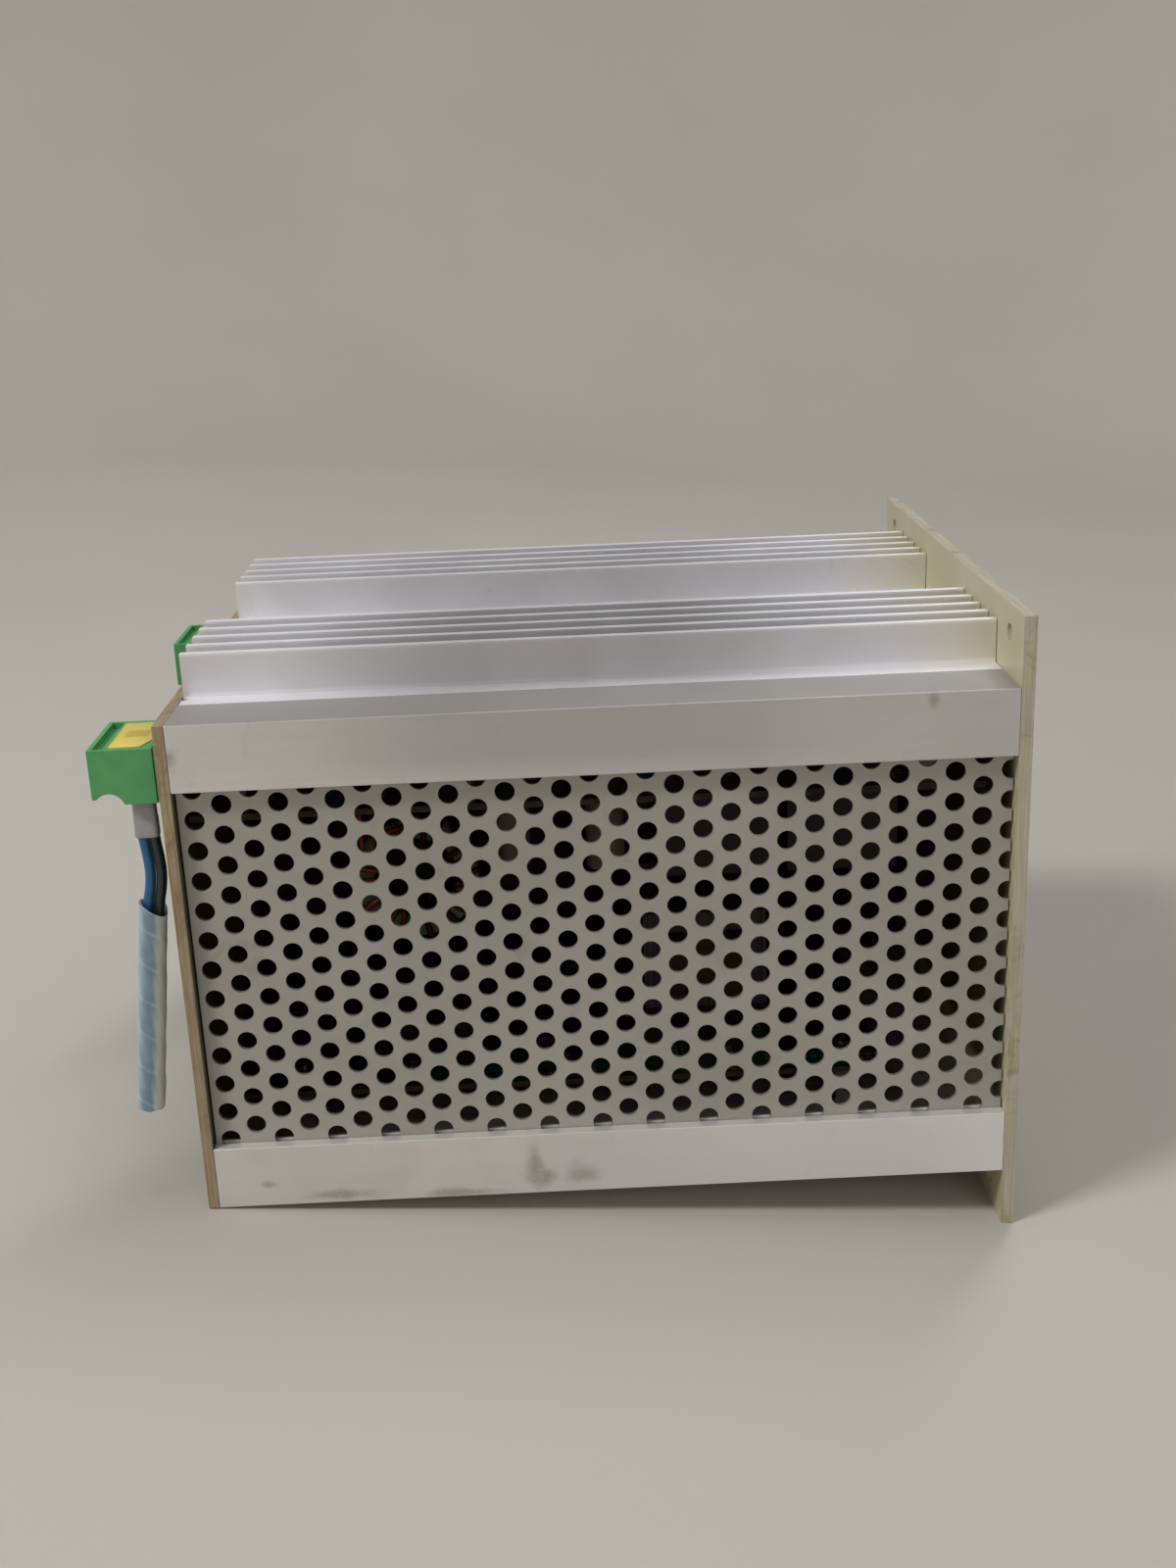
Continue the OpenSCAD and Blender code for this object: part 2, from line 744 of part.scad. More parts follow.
// Slotted clamping screw: turns in place, its thread works in the cage
module clamp_screw(y) {
    color([0.72, 0.71, 0.68]) difference() {
        union() {
            bar_x(plug_x - screw_head_u, plug_x - screw_tip_u, screw_shank_r, y, plug_z + screw_v);
            bar_x(plug_x - screw_head_u - screw_head_l, plug_x - screw_head_u, screw_head_r,
                  y, plug_z + screw_v);
        }
        uv_block([screw_head_u + screw_head_l - 1, screw_head_u + screw_head_l + eps],
                 [y - screw_head_r - eps, y + screw_head_r + eps], [screw_v - 0.35, screw_v + 0.35]);
    }
}

// Clamping cage: a square frame round the wire and the contact bar
module clamp_cage(y) {
    color([0.7, 0.68, 0.62]) difference() {
        uv_block(cage_u, [y - cage_y, y + cage_y], cage_v);
        uv_block(cage_window_u, [y - cage_window_y, y + cage_window_y],
                 [cage_v[0] - eps, cage_v[1] + eps]);
        bar_x(plug_x - cage_u[1] - eps, plug_x - cage_window_u[1] + eps, cage_bore_r,
              y, plug_z + screw_v);
    }
}

module clamp_screw_1() { clamp_screw(pole_y(block_1_y, 0)); }
module clamp_screw_2() { clamp_screw(pole_y(block_1_y, 1)); }
module clamp_screw_3() { clamp_screw(pole_y(block_1_y, 2)); }
module clamp_screw_4() { clamp_screw(pole_y(block_2_y, 0)); }
module clamp_screw_5() { clamp_screw(pole_y(block_2_y, 1)); }
module clamp_screw_6() { clamp_screw(pole_y(block_2_y, 2)); }
module clamp_cage_1() { clamp_cage(pole_y(block_1_y, 0)); }
module clamp_cage_2() { clamp_cage(pole_y(block_1_y, 1)); }
module clamp_cage_3() { clamp_cage(pole_y(block_1_y, 2)); }
module clamp_cage_4() { clamp_cage(pole_y(block_2_y, 0)); }
module clamp_cage_5() { clamp_cage(pole_y(block_2_y, 1)); }
module clamp_cage_6() { clamp_cage(pole_y(block_2_y, 2)); }

// ---- cable ----

// Twin ferrule: an oval plastic collar below, a round metal tube above
module ferrule_collar() {
    half = (collar[0] - collar[1]) / 2;
    color([0.5, 0.5, 0.5]) translate([cable_x, cable_y, collar_z]) linear_extrude(collar[2]) {
        square([2 * half, collar[1]], center = true);
        for (s = [-1, 1]) translate([s * half, 0]) circle(r = collar[1] / 2);
    }
}

module ferrule_tube() {
    color([0.75, 0.75, 0.74]) translate([cable_x, cable_y, collar_z + collar[2]])
        cylinder(h = ferrule_top_z - collar_z - collar[2], r = ferrule_r);
}

// A tube swept along a route of [x, z] points at the cable's own y
function route_dir(p, i) =
    let (a = p[max(i - 1, 0)], b = p[min(i + 1, len(p) - 1)]) (b - a) / norm(b - a);
function tube_points(p, r, n) = [
    for (i = [0 : len(p) - 1]) for (k = [0 : n - 1])
        let (d = i == 0 ? [0, -1] : route_dir(p, i), across = r * cos(360 * k / n))
            [p[i][0] + d[1] * across, cable_y + r * sin(360 * k / n), p[i][1] - d[0] * across]
];
function tube_faces(m, n) = concat(
    [[for (k = [0 : n - 1]) k]],
    [for (i = [0 : m - 2]) for (k = [0 : n - 1]) let (a = i * n + k, b = i * n + (k + 1) % n)
        [a, a + n, b + n, b]],
    [[for (k = [n - 1 : -1 : 0]) (m - 1) * n + k]]);

module tube(p, d) {
    polyhedron(tube_points(p, d / 2, wire_sides), tube_faces(len(p), wire_sides));
}

module wire_blue() { color([0.08, 0.25, 0.42]) tube(blue_route, wire_d); }
module wire_dark() { color([0.06, 0.07, 0.09]) tube(dark_route, wire_d); }

module cable_sleeve() {
    color([0.55, 0.65, 0.73]) translate(sleeve_top) rotate([0, 180 + sleeve_lean, 0])
        difference() {
            cylinder(h = sleeve_l, r = sleeve_d / 2);
            translate([0, 0, -eps])
                cylinder(h = sleeve_l + 2 * eps, r = sleeve_d / 2 - sleeve_wall);
        }
}

mounting_plate();
backplane_board();
rail_top_front();
rail_top_back();
rail_bottom_front();
rail_bottom_back();
grille_front();
grille_back();
heat_sink_front();
heat_sink_back();
centre_strip();
bottom_cover();
power_board();
control_board();
board_connectors();
power_transistors();
insulating_pads();
transistor_screws();
sink_screws();
end_screws();
power_standoffs();
control_standoffs();
board_screws();
choke_core();
choke_winding();
dc_capacitors();
small_capacitors();
relays();
fuse_clips();
fuse();
transformer_core();
transformer_coil();
control_chips();
header_1();
header_2();
header_pins();
plug_1_housing();
plug_1_contacts();
plug_1_label();
ferrule_tube();
ferrule_collar();
wire_blue();
wire_dark();
cable_sleeve();
clamp_screw_1();
clamp_screw_2();
clamp_screw_3();
clamp_cage_1();
clamp_cage_2();
clamp_cage_3();
plug_2_housing();
plug_2_contacts();
plug_2_label();
clamp_screw_4();
clamp_screw_5();
clamp_screw_6();
clamp_cage_4();
clamp_cage_5();
clamp_cage_6();
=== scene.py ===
"""Looks of a door drive's power cassette.

Camera, wires, materials, the pieces made here, broken edges, floor and light, round the CAD
nodes that the frame carries. Lengths are metres unless a name or a comment says millimetres.
"""

import math
import random

import bmesh
import bpy
from mathutils import Euler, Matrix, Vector


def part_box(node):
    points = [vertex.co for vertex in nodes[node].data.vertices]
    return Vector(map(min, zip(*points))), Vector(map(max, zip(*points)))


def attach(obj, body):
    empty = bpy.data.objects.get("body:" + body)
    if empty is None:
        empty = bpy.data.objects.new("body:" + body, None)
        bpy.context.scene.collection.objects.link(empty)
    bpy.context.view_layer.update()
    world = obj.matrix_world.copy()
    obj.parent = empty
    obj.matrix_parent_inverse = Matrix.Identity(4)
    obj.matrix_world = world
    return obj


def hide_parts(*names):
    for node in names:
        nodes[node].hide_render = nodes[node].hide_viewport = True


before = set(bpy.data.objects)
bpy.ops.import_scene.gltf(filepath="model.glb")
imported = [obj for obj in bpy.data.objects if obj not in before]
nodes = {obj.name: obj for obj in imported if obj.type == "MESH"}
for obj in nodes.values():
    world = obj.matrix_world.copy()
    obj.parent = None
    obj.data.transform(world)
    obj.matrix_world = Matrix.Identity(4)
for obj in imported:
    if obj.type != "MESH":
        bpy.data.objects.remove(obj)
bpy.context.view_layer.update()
dice = random.Random(7)
MM = 0.001


def mm(x, y, z):
    """A point of the row frame, given in millimetres."""
    return Vector((x * MM, y * MM, z * MM))


# ---- Camera -------------------------------------------------------------------------------------

lens = bpy.data.cameras.new("camera")
lens.lens = 40.52
lens.sensor_width = 36
lens.clip_start, lens.clip_end = 0.01, 20
camera = bpy.data.objects.new("camera", lens)
camera.location = (-0.11353, -0.49410, 0.18047)
camera.rotation_euler = Euler([math.radians(turn) for turn in (71.636, 2.220, -1.477)])
bpy.context.scene.collection.objects.link(camera)
bpy.context.scene.camera = camera


# ---- Tools for meshes ---------------------------------------------------------------------------

def add_object(name, data):
    made = bpy.data.objects.new(name, data)
    bpy.context.scene.collection.objects.link(made)
    return made


def mesh_object(name, points, faces, smooth=40):
    """A mesh from points in metres, with its edges sharper than smooth degrees kept crisp."""
    mesh = bpy.data.meshes.new(name)
    mesh.from_pydata([tuple(p) for p in points], [], faces)
    bm = bmesh.new()
    bm.from_mesh(mesh)
    bmesh.ops.recalc_face_normals(bm, faces=bm.faces)
    bm.to_mesh(mesh)
    bm.free()
    mesh.shade_smooth()
    mesh.set_sharp_from_angle(angle=math.radians(smooth))
    return add_object(name, mesh)


class Solid:
    """Collects rings of points into one mesh, so that a piece can hold many parts."""

    def __init__(self):
        self.points, self.faces = [], []

    def rings(self, rings, caps=True):
        """Joins closed rings of equal length, and closes the two ends if caps is true."""
        start, n = len(self.points), len(rings[0])
        for ring in rings:
            self.points += ring
        for i in range(len(rings) - 1):
            a, b = start + i * n, start + (i + 1) * n
            for k in range(n):
                m = (k + 1) % n
                self.faces.append((a + k, a + m, b + m, b + k))
        if caps:
            self.faces.append(tuple(range(start, start + n))[::-1])
            last = start + (len(rings) - 1) * n
            self.faces.append(tuple(range(last, last + n)))

    def lathe(self, profile, centre, axis, sides=40):
        """Turns (radius, height) pairs, in millimetres, round an axis through centre."""
        turn = Vector((0, 0, 1)).rotation_difference(Vector(axis)).to_matrix()
        rings = []
        for r, h in profile:
            ring = []
            for k in range(sides):
                a = 2 * math.pi * k / sides
                ring.append(centre + turn @ mm(r * math.cos(a), r * math.sin(a), h))
            rings.append(ring)
        self.rings(rings)

    def tube(self, path, radius, sides=8):
        """A round tube along a path of points, with frames that don't twist."""
        forward = (path[1] - path[0]).normalized()
        across = forward.orthogonal().normalized()
        rings = []
        for i, p in enumerate(path):
            ahead = path[min(i + 1, len(path) - 1)] - path[max(i - 1, 0)]
            ahead.normalize()
            across = (across - ahead * across.dot(ahead)).normalized()
            up = ahead.cross(across)
            ring = []
            for k in range(sides):
                a = 2 * math.pi * k / sides
                ring.append(p + (across * math.cos(a) + up * math.sin(a)) * radius)
            rings.append(ring)
        self.rings(rings)

    def made(self, name, smooth=40):
        """The object made of everything collected."""
        return mesh_object(name, self.points, self.faces, smooth)


# ---- Materials ----------------------------------------------------------------------------------

def shade(red, green, blue):
    """A colour as it shows on a screen, 0 to 255, as linear light."""
    return tuple(((c / 255 + 0.055) / 1.055) ** 2.4 if c > 10 else c / 255 / 12.92
                 for c in (red, green, blue)) + (1.0,)


class Finish:
    """A Principled material with short names for the nodes that vary it over a surface."""

    def __init__(self, name, roughness, metallic, **direct):
        self.made = bpy.data.materials.new(name)
        self.made.use_nodes = True
        self.tree = self.made.node_tree
        self.skin = self.tree.nodes["Principled BSDF"]
        self.skin.inputs["Roughness"].default_value = roughness
        self.skin.inputs["Metallic"].default_value = metallic
        for key, value in direct.items():
            self.skin.inputs[key.replace("_", " ")].default_value = value
        self.coords = self.node("ShaderNodeTexCoord")
        self.place = self.coords.outputs["Object"]
        self.normal = None

    def node(self, kind, **settings):
        """A new node with its settings."""
        made = self.tree.nodes.new(kind)
        for key, value in settings.items():
            setattr(made, key, value)
        return made

    def link(self, source, target):
        self.tree.links.new(source, target)

    def feed(self, target, value):
        """Sets a socket to a number, a colour or a vector, or links another socket to it."""
        if isinstance(value, (int, float, tuple, Vector)):
            target.default_value = value
        else:
            self.link(value, target)

    def stretched(self, x, y, z, at=None):
        """The place with each axis scaled, so that a pattern runs along an axis."""
        made = self.node("ShaderNodeMapping")
        made.inputs["Scale"].default_value = (x, y, z)
        self.link(at or self.place, made.inputs["Vector"])
        return made.outputs["Vector"]

    def noise(self, scale, detail=3.0, rough=0.5, twist=0.0, at=None):
        """Soft clouds, 0 to 1, about scale of them to a metre."""
        made = self.node("ShaderNodeTexNoise")
        made.inputs["Scale"].default_value = scale
        made.inputs["Detail"].default_value = detail
        made.inputs["Roughness"].default_value = rough
        made.inputs["Distortion"].default_value = twist
        self.link(at or self.place, made.inputs["Vector"])
        return made.outputs["Fac"]

    def cells(self, scale, loose=1.0, at=None):
        """The distance to the nearest cell's middle. loose 0 sets the cells on a square grid."""
        made = self.node("ShaderNodeTexVoronoi")
        made.inputs["Scale"].default_value = scale
        made.inputs["Randomness"].default_value = loose
        self.link(at or self.place, made.inputs["Vector"])
        return made.outputs["Distance"]

    def bands(self, scale, axis, twist):
        """Parallel bands across an axis."""
        made = self.node("ShaderNodeTexWave", wave_type="BANDS", bands_direction=axis)
        made.inputs["Scale"].default_value = scale
        made.inputs["Distortion"].default_value = twist
        self.link(self.place, made.inputs["Vector"])
        return made.outputs["Fac"]

    def sum(self, kind, a, b=0.0):
        """A Math node of the kind named."""
        made = self.node("ShaderNodeMath", operation=kind)
        self.feed(made.inputs[0], a)
        self.feed(made.inputs[1], b)
        return made.outputs[0]

    def between(self, value, low, high, out_low=0.0, out_high=1.0, smooth=True):
        """A value from low to high, eased to out_low to out_high."""
        made = self.node("ShaderNodeMapRange")
        made.interpolation_type = "SMOOTHSTEP" if smooth else "LINEAR"
        for i, v in enumerate((value, low, high, out_low, out_high)):
            self.feed(made.inputs[i], v)
        return made.outputs[0]

    def mix(self, share, a, b):
        """Colour a, turning into b as share goes from 0 to 1."""
        made = self.node("ShaderNodeMix", data_type="RGBA")
        self.feed(made.inputs[0], share)
        self.feed(made.inputs[6], a)
        self.feed(made.inputs[7], b)
        return made.outputs[2]

    def parts(self, vector):
        """A vector's three sockets."""
        made = self.node("ShaderNodeSeparateXYZ")
        self.link(vector, made.inputs[0])
        return made.outputs

    def facing(self, axis):
        """How squarely the surface faces along an axis, 0 to 1, in the piece's own coordinates."""
        return self.sum("ABSOLUTE", self.parts(self.coords.outputs["Normal"])[axis])

    def spot(self, centre, radius, squash=(1, 1, 1), ragged=0.5):
        """1 in a ragged spot round a point in millimetres, fading to 0 at its radius."""
        off = self.node("ShaderNodeVectorMath", operation="SUBTRACT")
        self.link(self.place, off.inputs[0])
        off.inputs[1].default_value = mm(*centre)
        long = self.node("ShaderNodeVectorMath", operation="LENGTH")
        self.link(self.stretched(*squash, at=off.outputs[0]), long.inputs[0])
        wobble = self.between(self.noise(110, 2, 0.5), 0.25, 0.75,
                              1 - ragged, 1 + ragged, smooth=False)
        reach = self.sum("MULTIPLY", long.outputs["Value"], wobble)
        return self.between(reach, radius * MM * 0.1, radius * MM, 1.0, 0.0)

    def most(self, *values):
        """The largest of the values."""
        total = values[0]
        for v in values[1:]:
            total = self.sum("MAXIMUM", total, v)
        return total

    def bump(self, height, depth, strength=1.0):
        """Adds relief, depth in millimetres."""
        made = self.node("ShaderNodeBump")
        made.inputs["Strength"].default_value = strength
        made.inputs["Distance"].default_value = depth * MM
        self.link(height, made.inputs["Height"])
        if self.normal:
            self.link(self.normal, made.inputs["Normal"])
        self.normal = made.outputs["Normal"]

    def paint(self, colour, roughness=None, metallic=None):
        """Links what varies over the surface to the shader, and returns the material."""
        for key, value in (("Base Color", colour), ("Roughness", roughness),
                           ("Metallic", metallic)):
            if value is not None:
                self.link(value, self.skin.inputs[key])
        if self.normal:
            self.link(self.normal, self.skin.inputs["Normal"])
        return self.made


def extruded(name, dark, light, cream=None, smudges=(), roughness=0.42, metal_share=0.6,
             ledge_shading=None, fin_highlights=False, dark_reflection=0.0):
    """Extruded aluminium: fine die lines along X, cloudy handling marks, and smudges of dirt.

    Upward faces take the two ledge colours, a painted highlight on the low ledges and painted shade
    on the high ones. Fin top edges and the strip at the fin foot get painted highlights, the cream
    colour is a painted reflection of the plate on the aluminium near the right end, and the dark
    reflection share sets how far a painted dark reflection darkens the middle of the top. On the
    rails the top is also made darker towards the right and the bottom lighter towards the right."""
    f = Finish(name, roughness, metal_share, Anisotropic=0.7)
    tangent = f.node("ShaderNodeTangent", direction_type="RADIAL", axis="X")
    f.link(tangent.outputs[0], f.skin.inputs["Tangent"])
    x, y, z = f.parts(f.place)
    cloud = f.noise(16, 4, 0.55, 0.6)
    streak = f.noise(1.0, 5, 0.6, at=f.stretched(3, 900, 900))
    colour = f.mix(f.between(cloud, 0.35, 0.68), dark, light)
    colour = f.mix(f.between(streak, 0.35, 0.75, 0.0, 0.22), colour, shade(222, 222, 226))
    # Painted reflection: near the right end the aluminium is tinted with the cream of the plate
    # beside it.
    if cream:
        colour = f.mix(f.between(x, -0.034, -0.003, 0.0, 0.85), colour, cream)
    blotch = f.noise(55, 5, 0.65, 1.2)
    grime = f.between(blotch, 0.60, 0.78, 0.0, 0.25)
    colour = f.mix(grime, colour, shade(136, 130, 122))
    if ledge_shading:
        # Painted light on upward faces: a painted highlight on the low ledges and painted shade on
        # the high ones.
        up = f.between(f.parts(f.coords.outputs["Normal"])[2], 0.7, 0.95, 0.0, 0.85)
        colour = f.mix(up, colour, f.mix(f.between(z, -0.01, 0.01), *ledge_shading))
        # The top rails are made darker towards the right, and the bottom rails lighter towards the
        # right.
        top_darker_rightwards = f.between(x, -0.19, -0.10, 0.0, 0.35)
        colour = f.mix(f.sum("MULTIPLY", top_darker_rightwards, f.between(z, 0, 0.01)), colour, shade(160, 157, 154))
        bottom_lighter_rightwards = f.between(x, -0.17, -0.05, 0.0, 0.5)
        colour = f.mix(f.sum("MULTIPLY", bottom_lighter_rightwards, f.between(z, -0.01, 0, 1.0, 0.0)), colour,
                       shade(238, 238, 238))
    if fin_highlights:
        # Painted highlights: the fin top edges and the strip at the fin foot are made near white.
        tip_highlight = f.sum("MULTIPLY", f.between(z, 0.0752, 0.0760, 0.0, 0.9),
                       f.between(y, -0.03, 0.03, 1.0, 0.5))
        colour = f.mix(tip_highlight, colour, shade(246, 246, 250))
        foot = f.sum("MULTIPLY", f.between(z, 0.0646, 0.0649),
                     f.between(z, 0.0655, 0.0662, 1.0, 0.0))
        colour = f.mix(f.sum("MULTIPLY", foot, 0.7), colour, shade(242, 242, 246))
    if dark_reflection:
        # Painted reflection: the middle of the top is darkened, most at the front, as by a dark
        # shape mirrored there.
        middle = f.between(f.sum("ABSOLUTE", f.sum("ADD", x, 0.112)), 0.02, 0.085, 1.0, 0.0)
        middle = f.sum("MULTIPLY", middle, f.between(z, 0.045, 0.055, 0.0, dark_reflection))
        middle = f.sum("MULTIPLY", middle, f.between(y, -0.03, 0.03, 1.0, 0.5))
        colour = f.mix(middle, colour, shade(128, 126, 126))
    marks = [f.spot(*s) for s in smudges]
    if marks:
        speckle = f.between(f.noise(900, 3, 0.6), 0.3, 0.7, 0.38, 0.55)
        colour = f.mix(f.sum("MULTIPLY", f.most(*marks), speckle), colour, shade(118, 112, 104))
    rough = f.between(f.sum("ADD", cloud, grime), 0.3, 1.0, roughness - 0.05, roughness + 0.12)
    f.bump(streak, 0.02, 0.35)
    f.bump(f.noise(1.0, 2, at=f.stretched(30, 2600, 2600)), 0.012, 0.4)
    f.bump(f.noise(700, 3, 0.6), 0.01, 0.2)
    return f.paint(colour, rough)


def sheet_metal():
    """Dull zinc-plated sheet, cloudy, with faint spangle, a grey lip in each hole, and painted
    shade towards the top and on its inner faces.
    """
    f = Finish("perforated_sheet", 0.55, 0.30)
    cloud = f.noise(22, 5, 0.6, 0.5)
    spangle = f.cells(150)
    colour = f.mix(f.between(cloud, 0.3, 0.7), shade(160, 158, 151), shade(174, 172, 166))
    colour = f.mix(f.between(spangle, 0.1, 0.7, 0.0, 0.16), colour, shade(168, 165, 158))
    z = f.parts(f.place)[2]
    # Painted shade: the sheet darkens towards the top, under the top rail.
    colour = f.mix(f.between(z, -0.05, 0.05, 0.0, 0.35), colour, shade(150, 148, 140))
    stain = f.between(f.noise(70, 4, 0.6, 1.0), 0.60, 0.75, 0.0, 0.25)
    colour = f.mix(stain, colour, shade(116, 110, 98))
    colour = f.mix(f.between(f.facing(1), 0.5, 0.9, 0.55, 0.0), colour, shade(110, 108, 104))
    # Painted shade: faces that look into the case are darkened, as the inside is in shade.
    outward = f.sum("MULTIPLY", f.parts(f.coords.outputs["Normal"])[1], f.parts(f.place)[1])
    colour = f.mix(f.between(outward, -0.06, -0.03, 0.8, 0.0), colour, shade(60, 58, 54))
    f.bump(cloud, 0.05, 0.3)
    f.bump(f.noise(1400, 2, 0.6), 0.01, 0.3)
    return f.paint(colour, f.between(cloud, 0.2, 0.8, 0.46, 0.62))


def laminate(name, face_a, face_b, edge_a, edge_b, axis):
    """Glass-epoxy sheet: cloudy cream faces with a faint weave, and layered edges.

    Its inner face is painted in shade where the case encloses it."""
    gloss = 0.42
    f = Finish(name, gloss, 0.0, Coat_Weight=0.12, Coat_Roughness=0.3)
    cloud = f.noise(14, 5, 0.6, 0.8)
    weave = f.most(f.bands(420, "Y", 1.2), f.bands(420, "Z", 1.2))
    face = f.mix(f.between(cloud, 0.3, 0.7), face_a, face_b)
    face = f.mix(f.between(weave, 0.4, 1.0, 0.0, 0.10), face, shade(150, 142, 112))
    scuff = f.between(f.noise(90, 6, 0.7, 2.0), 0.62, 0.80, 0.0, 0.30)
    face = f.mix(scuff, face, shade(128, 118, 94))
    layers = f.noise(1.0, 3, 0.6, at=f.stretched(*[2200 if i == axis else 45 for i in range(3)]))
    stain = f.noise(60, 5, 0.7, 1.0)
    edge = f.mix(f.between(layers, 0.35, 0.65), edge_a, edge_b)
    edge = f.mix(f.between(stain, 0.48, 0.72, 0.0, 0.55), edge, shade(112, 88, 62))
    flat = f.between(f.facing(axis), 0.55, 0.85)
    _, y, z = f.parts(f.place)
    # Painted shade on the inner face, where the case encloses it.
    enclosed = f.sum("MULTIPLY", f.between(f.sum("ABSOLUTE", y), 0.076, 0.083, 1.0, 0.0),
                     f.between(f.sum("ABSOLUTE", f.sum("ADD", z, 0.001)), 0.046, 0.052, 1.0, 0.0))
    inward = f.between(f.parts(f.coords.outputs["Normal"])[0], -0.9, -0.6, 0.85, 0.0)
    face = f.mix(f.sum("MULTIPLY", enclosed, inward), face, shade(58, 52, 40))
    f.bump(weave, 0.01, 0.25)
    f.bump(layers, 0.04, 0.25)
    return f.paint(f.mix(flat, edge, face),
                   f.mix(flat, (0.72,) * 3 + (1,), (gloss,) * 3 + (1,)))


def circuit(name, axis, edges, inner=None):
    """Lacquered circuit board: traces under the lacquer, tinned rings on a 2.54 mm grid.

    inner is the colour of the bare laminate on the side that faces into the cassette."""
    grid_step = 0.00254
    f = Finish(name, 0.32, 0.0, Coat_Weight=0.35, Coat_Roughness=0.12)
    flat_axes = [i for i in range(3) if i != axis]
    place = f.parts(f.place)
    flat_place = f.node("ShaderNodeCombineXYZ")
    f.link(place[flat_axes[0]], flat_place.inputs[0])
    f.link(place[flat_axes[1]], flat_place.inputs[1])
    at = flat_place.outputs[0]
    lines = f.node("ShaderNodeTexBrick", offset=0.37, squash=1.6, squash_frequency=3)
    f.link(at, lines.inputs["Vector"])
    for key, value in (("Scale", 100.0), ("Mortar Size", 0.045), ("Mortar Smooth", 0.2),
                       ("Brick Width", 1.27), ("Row Height", 0.254)):
        lines.inputs[key].default_value = value
    routed = f.between(f.noise(34, 1, at=at), 0.47, 0.50)
    trace = f.sum("MULTIPLY", lines.outputs["Fac"], routed)
    pour = f.between(f.noise(26, 0, at=f.stretched(1, 2, 1, at=at)), 0.56, 0.58)
    copper = f.most(trace, f.sum("MULTIPLY", pour, 0.3))
    colour = f.mix(copper, shade(16, 40, 26), shade(30, 64, 38))
    colour = f.mix(f.between(f.noise(180, 3, at=at), 0.4, 0.8, 0.0, 0.3), colour, shade(24, 56, 36))
    grid = f.cells(1 / grid_step, loose=0.0, at=at)
    some = f.between(f.noise(120, 0, at=at), 0.645, 0.665)
    ring = f.sum("MULTIPLY", f.between(grid, 0.30, 0.34, 1.0, 0.0), some)
    hole = f.sum("MULTIPLY", f.between(grid, 0.12, 0.15, 1.0, 0.0), some)
    colour = f.mix(ring, colour, shade(186, 184, 172))
    colour = f.mix(hole, colour, shade(30, 30, 26))
    if inner:
        side = f.between(f.parts(f.coords.outputs["Normal"])[axis], 0.3, 0.7, 0.0, 0.92)
        colour = f.mix(side, colour, inner)
    layers = f.noise(1.0, 3, 0.6, at=f.stretched(*[2400 if i == axis else 55 for i in range(3)]))
    stain = f.between(f.noise(48, 5, 0.7, 1.2), 0.46, 0.70, 0.0, 0.7)
    edge = f.mix(f.between(layers, 0.35, 0.65), edges[0], edges[1])
    edge = f.mix(stain, edge, edges[2])
    flat = f.between(f.facing(axis), 0.55, 0.85)
    f.bump(copper, 0.035, 0.6)
    f.bump(ring, 0.05, 0.4)
    return f.paint(f.mix(flat, edge, colour),
                   f.mix(flat, (0.7,) * 3 + (1,),
                         f.mix(ring, (0.30,) * 3 + (1,), (0.4,) * 3 + (1,))),
                   f.sum("MULTIPLY", f.sum("MULTIPLY", ring, flat), 0.8))


def moulded(name, colour, second, roughness=0.42, grain=900, **direct):
    """Moulded plastic: slight colour clouds, fine grain, and paler worn patches."""
    f = Finish(name, roughness, 0.0, **direct)
    cloud = f.noise(90, 4, 0.6, 0.4)
    rub = f.between(f.noise(300, 5, 0.7, 0.6), 0.62, 0.80, 0.0, 0.25)
    shown = f.mix(f.between(cloud, 0.3, 0.7), colour, second)
    pale = tuple(min(1, c * 1.35 + 0.03) for c in second[:3]) + (1,)
    shown = f.mix(rub, shown, pale)
    f.bump(f.noise(grain, 3, 0.6), 0.02, 0.35)
    return f.paint(shown, f.between(cloud, 0.2, 0.8, roughness - 0.06, roughness + 0.08))


def metal(name, colour, second, roughness=0.3, lines=None, metallic=1.0, darker_from=None):
    """Plated or bare metal with small clouds, and turning or rolling lines along one axis.

    From darker_from along X, in metres, the surface is darker and browner."""
    f = Finish(name, roughness, metallic)
    cloud = f.noise(240, 4, 0.6, 0.5)
    shown = f.mix(f.between(cloud, 0.3, 0.7), colour, second)
    tarnish = f.between(f.noise(520, 5, 0.7), 0.58, 0.8, 0.0, 0.35)
    shown = f.mix(tarnish, shown, tuple(c * 0.55 for c in colour[:3]) + (1,))
    if darker_from is not None:
        x = f.parts(f.place)[0]
        shown = f.mix(f.between(x, darker_from - 0.004, darker_from + 0.004, 0.0, 0.85), shown,
                      shade(40, 22, 16))
    if lines:
        f.bump(f.noise(1.0, 2, at=f.stretched(*lines)), 0.02, 0.4)
    f.bump(f.noise(1500, 2), 0.01, 0.3)
    return f.paint(shown, f.between(cloud, 0.2, 0.8, roughness - 0.08, roughness + 0.14))


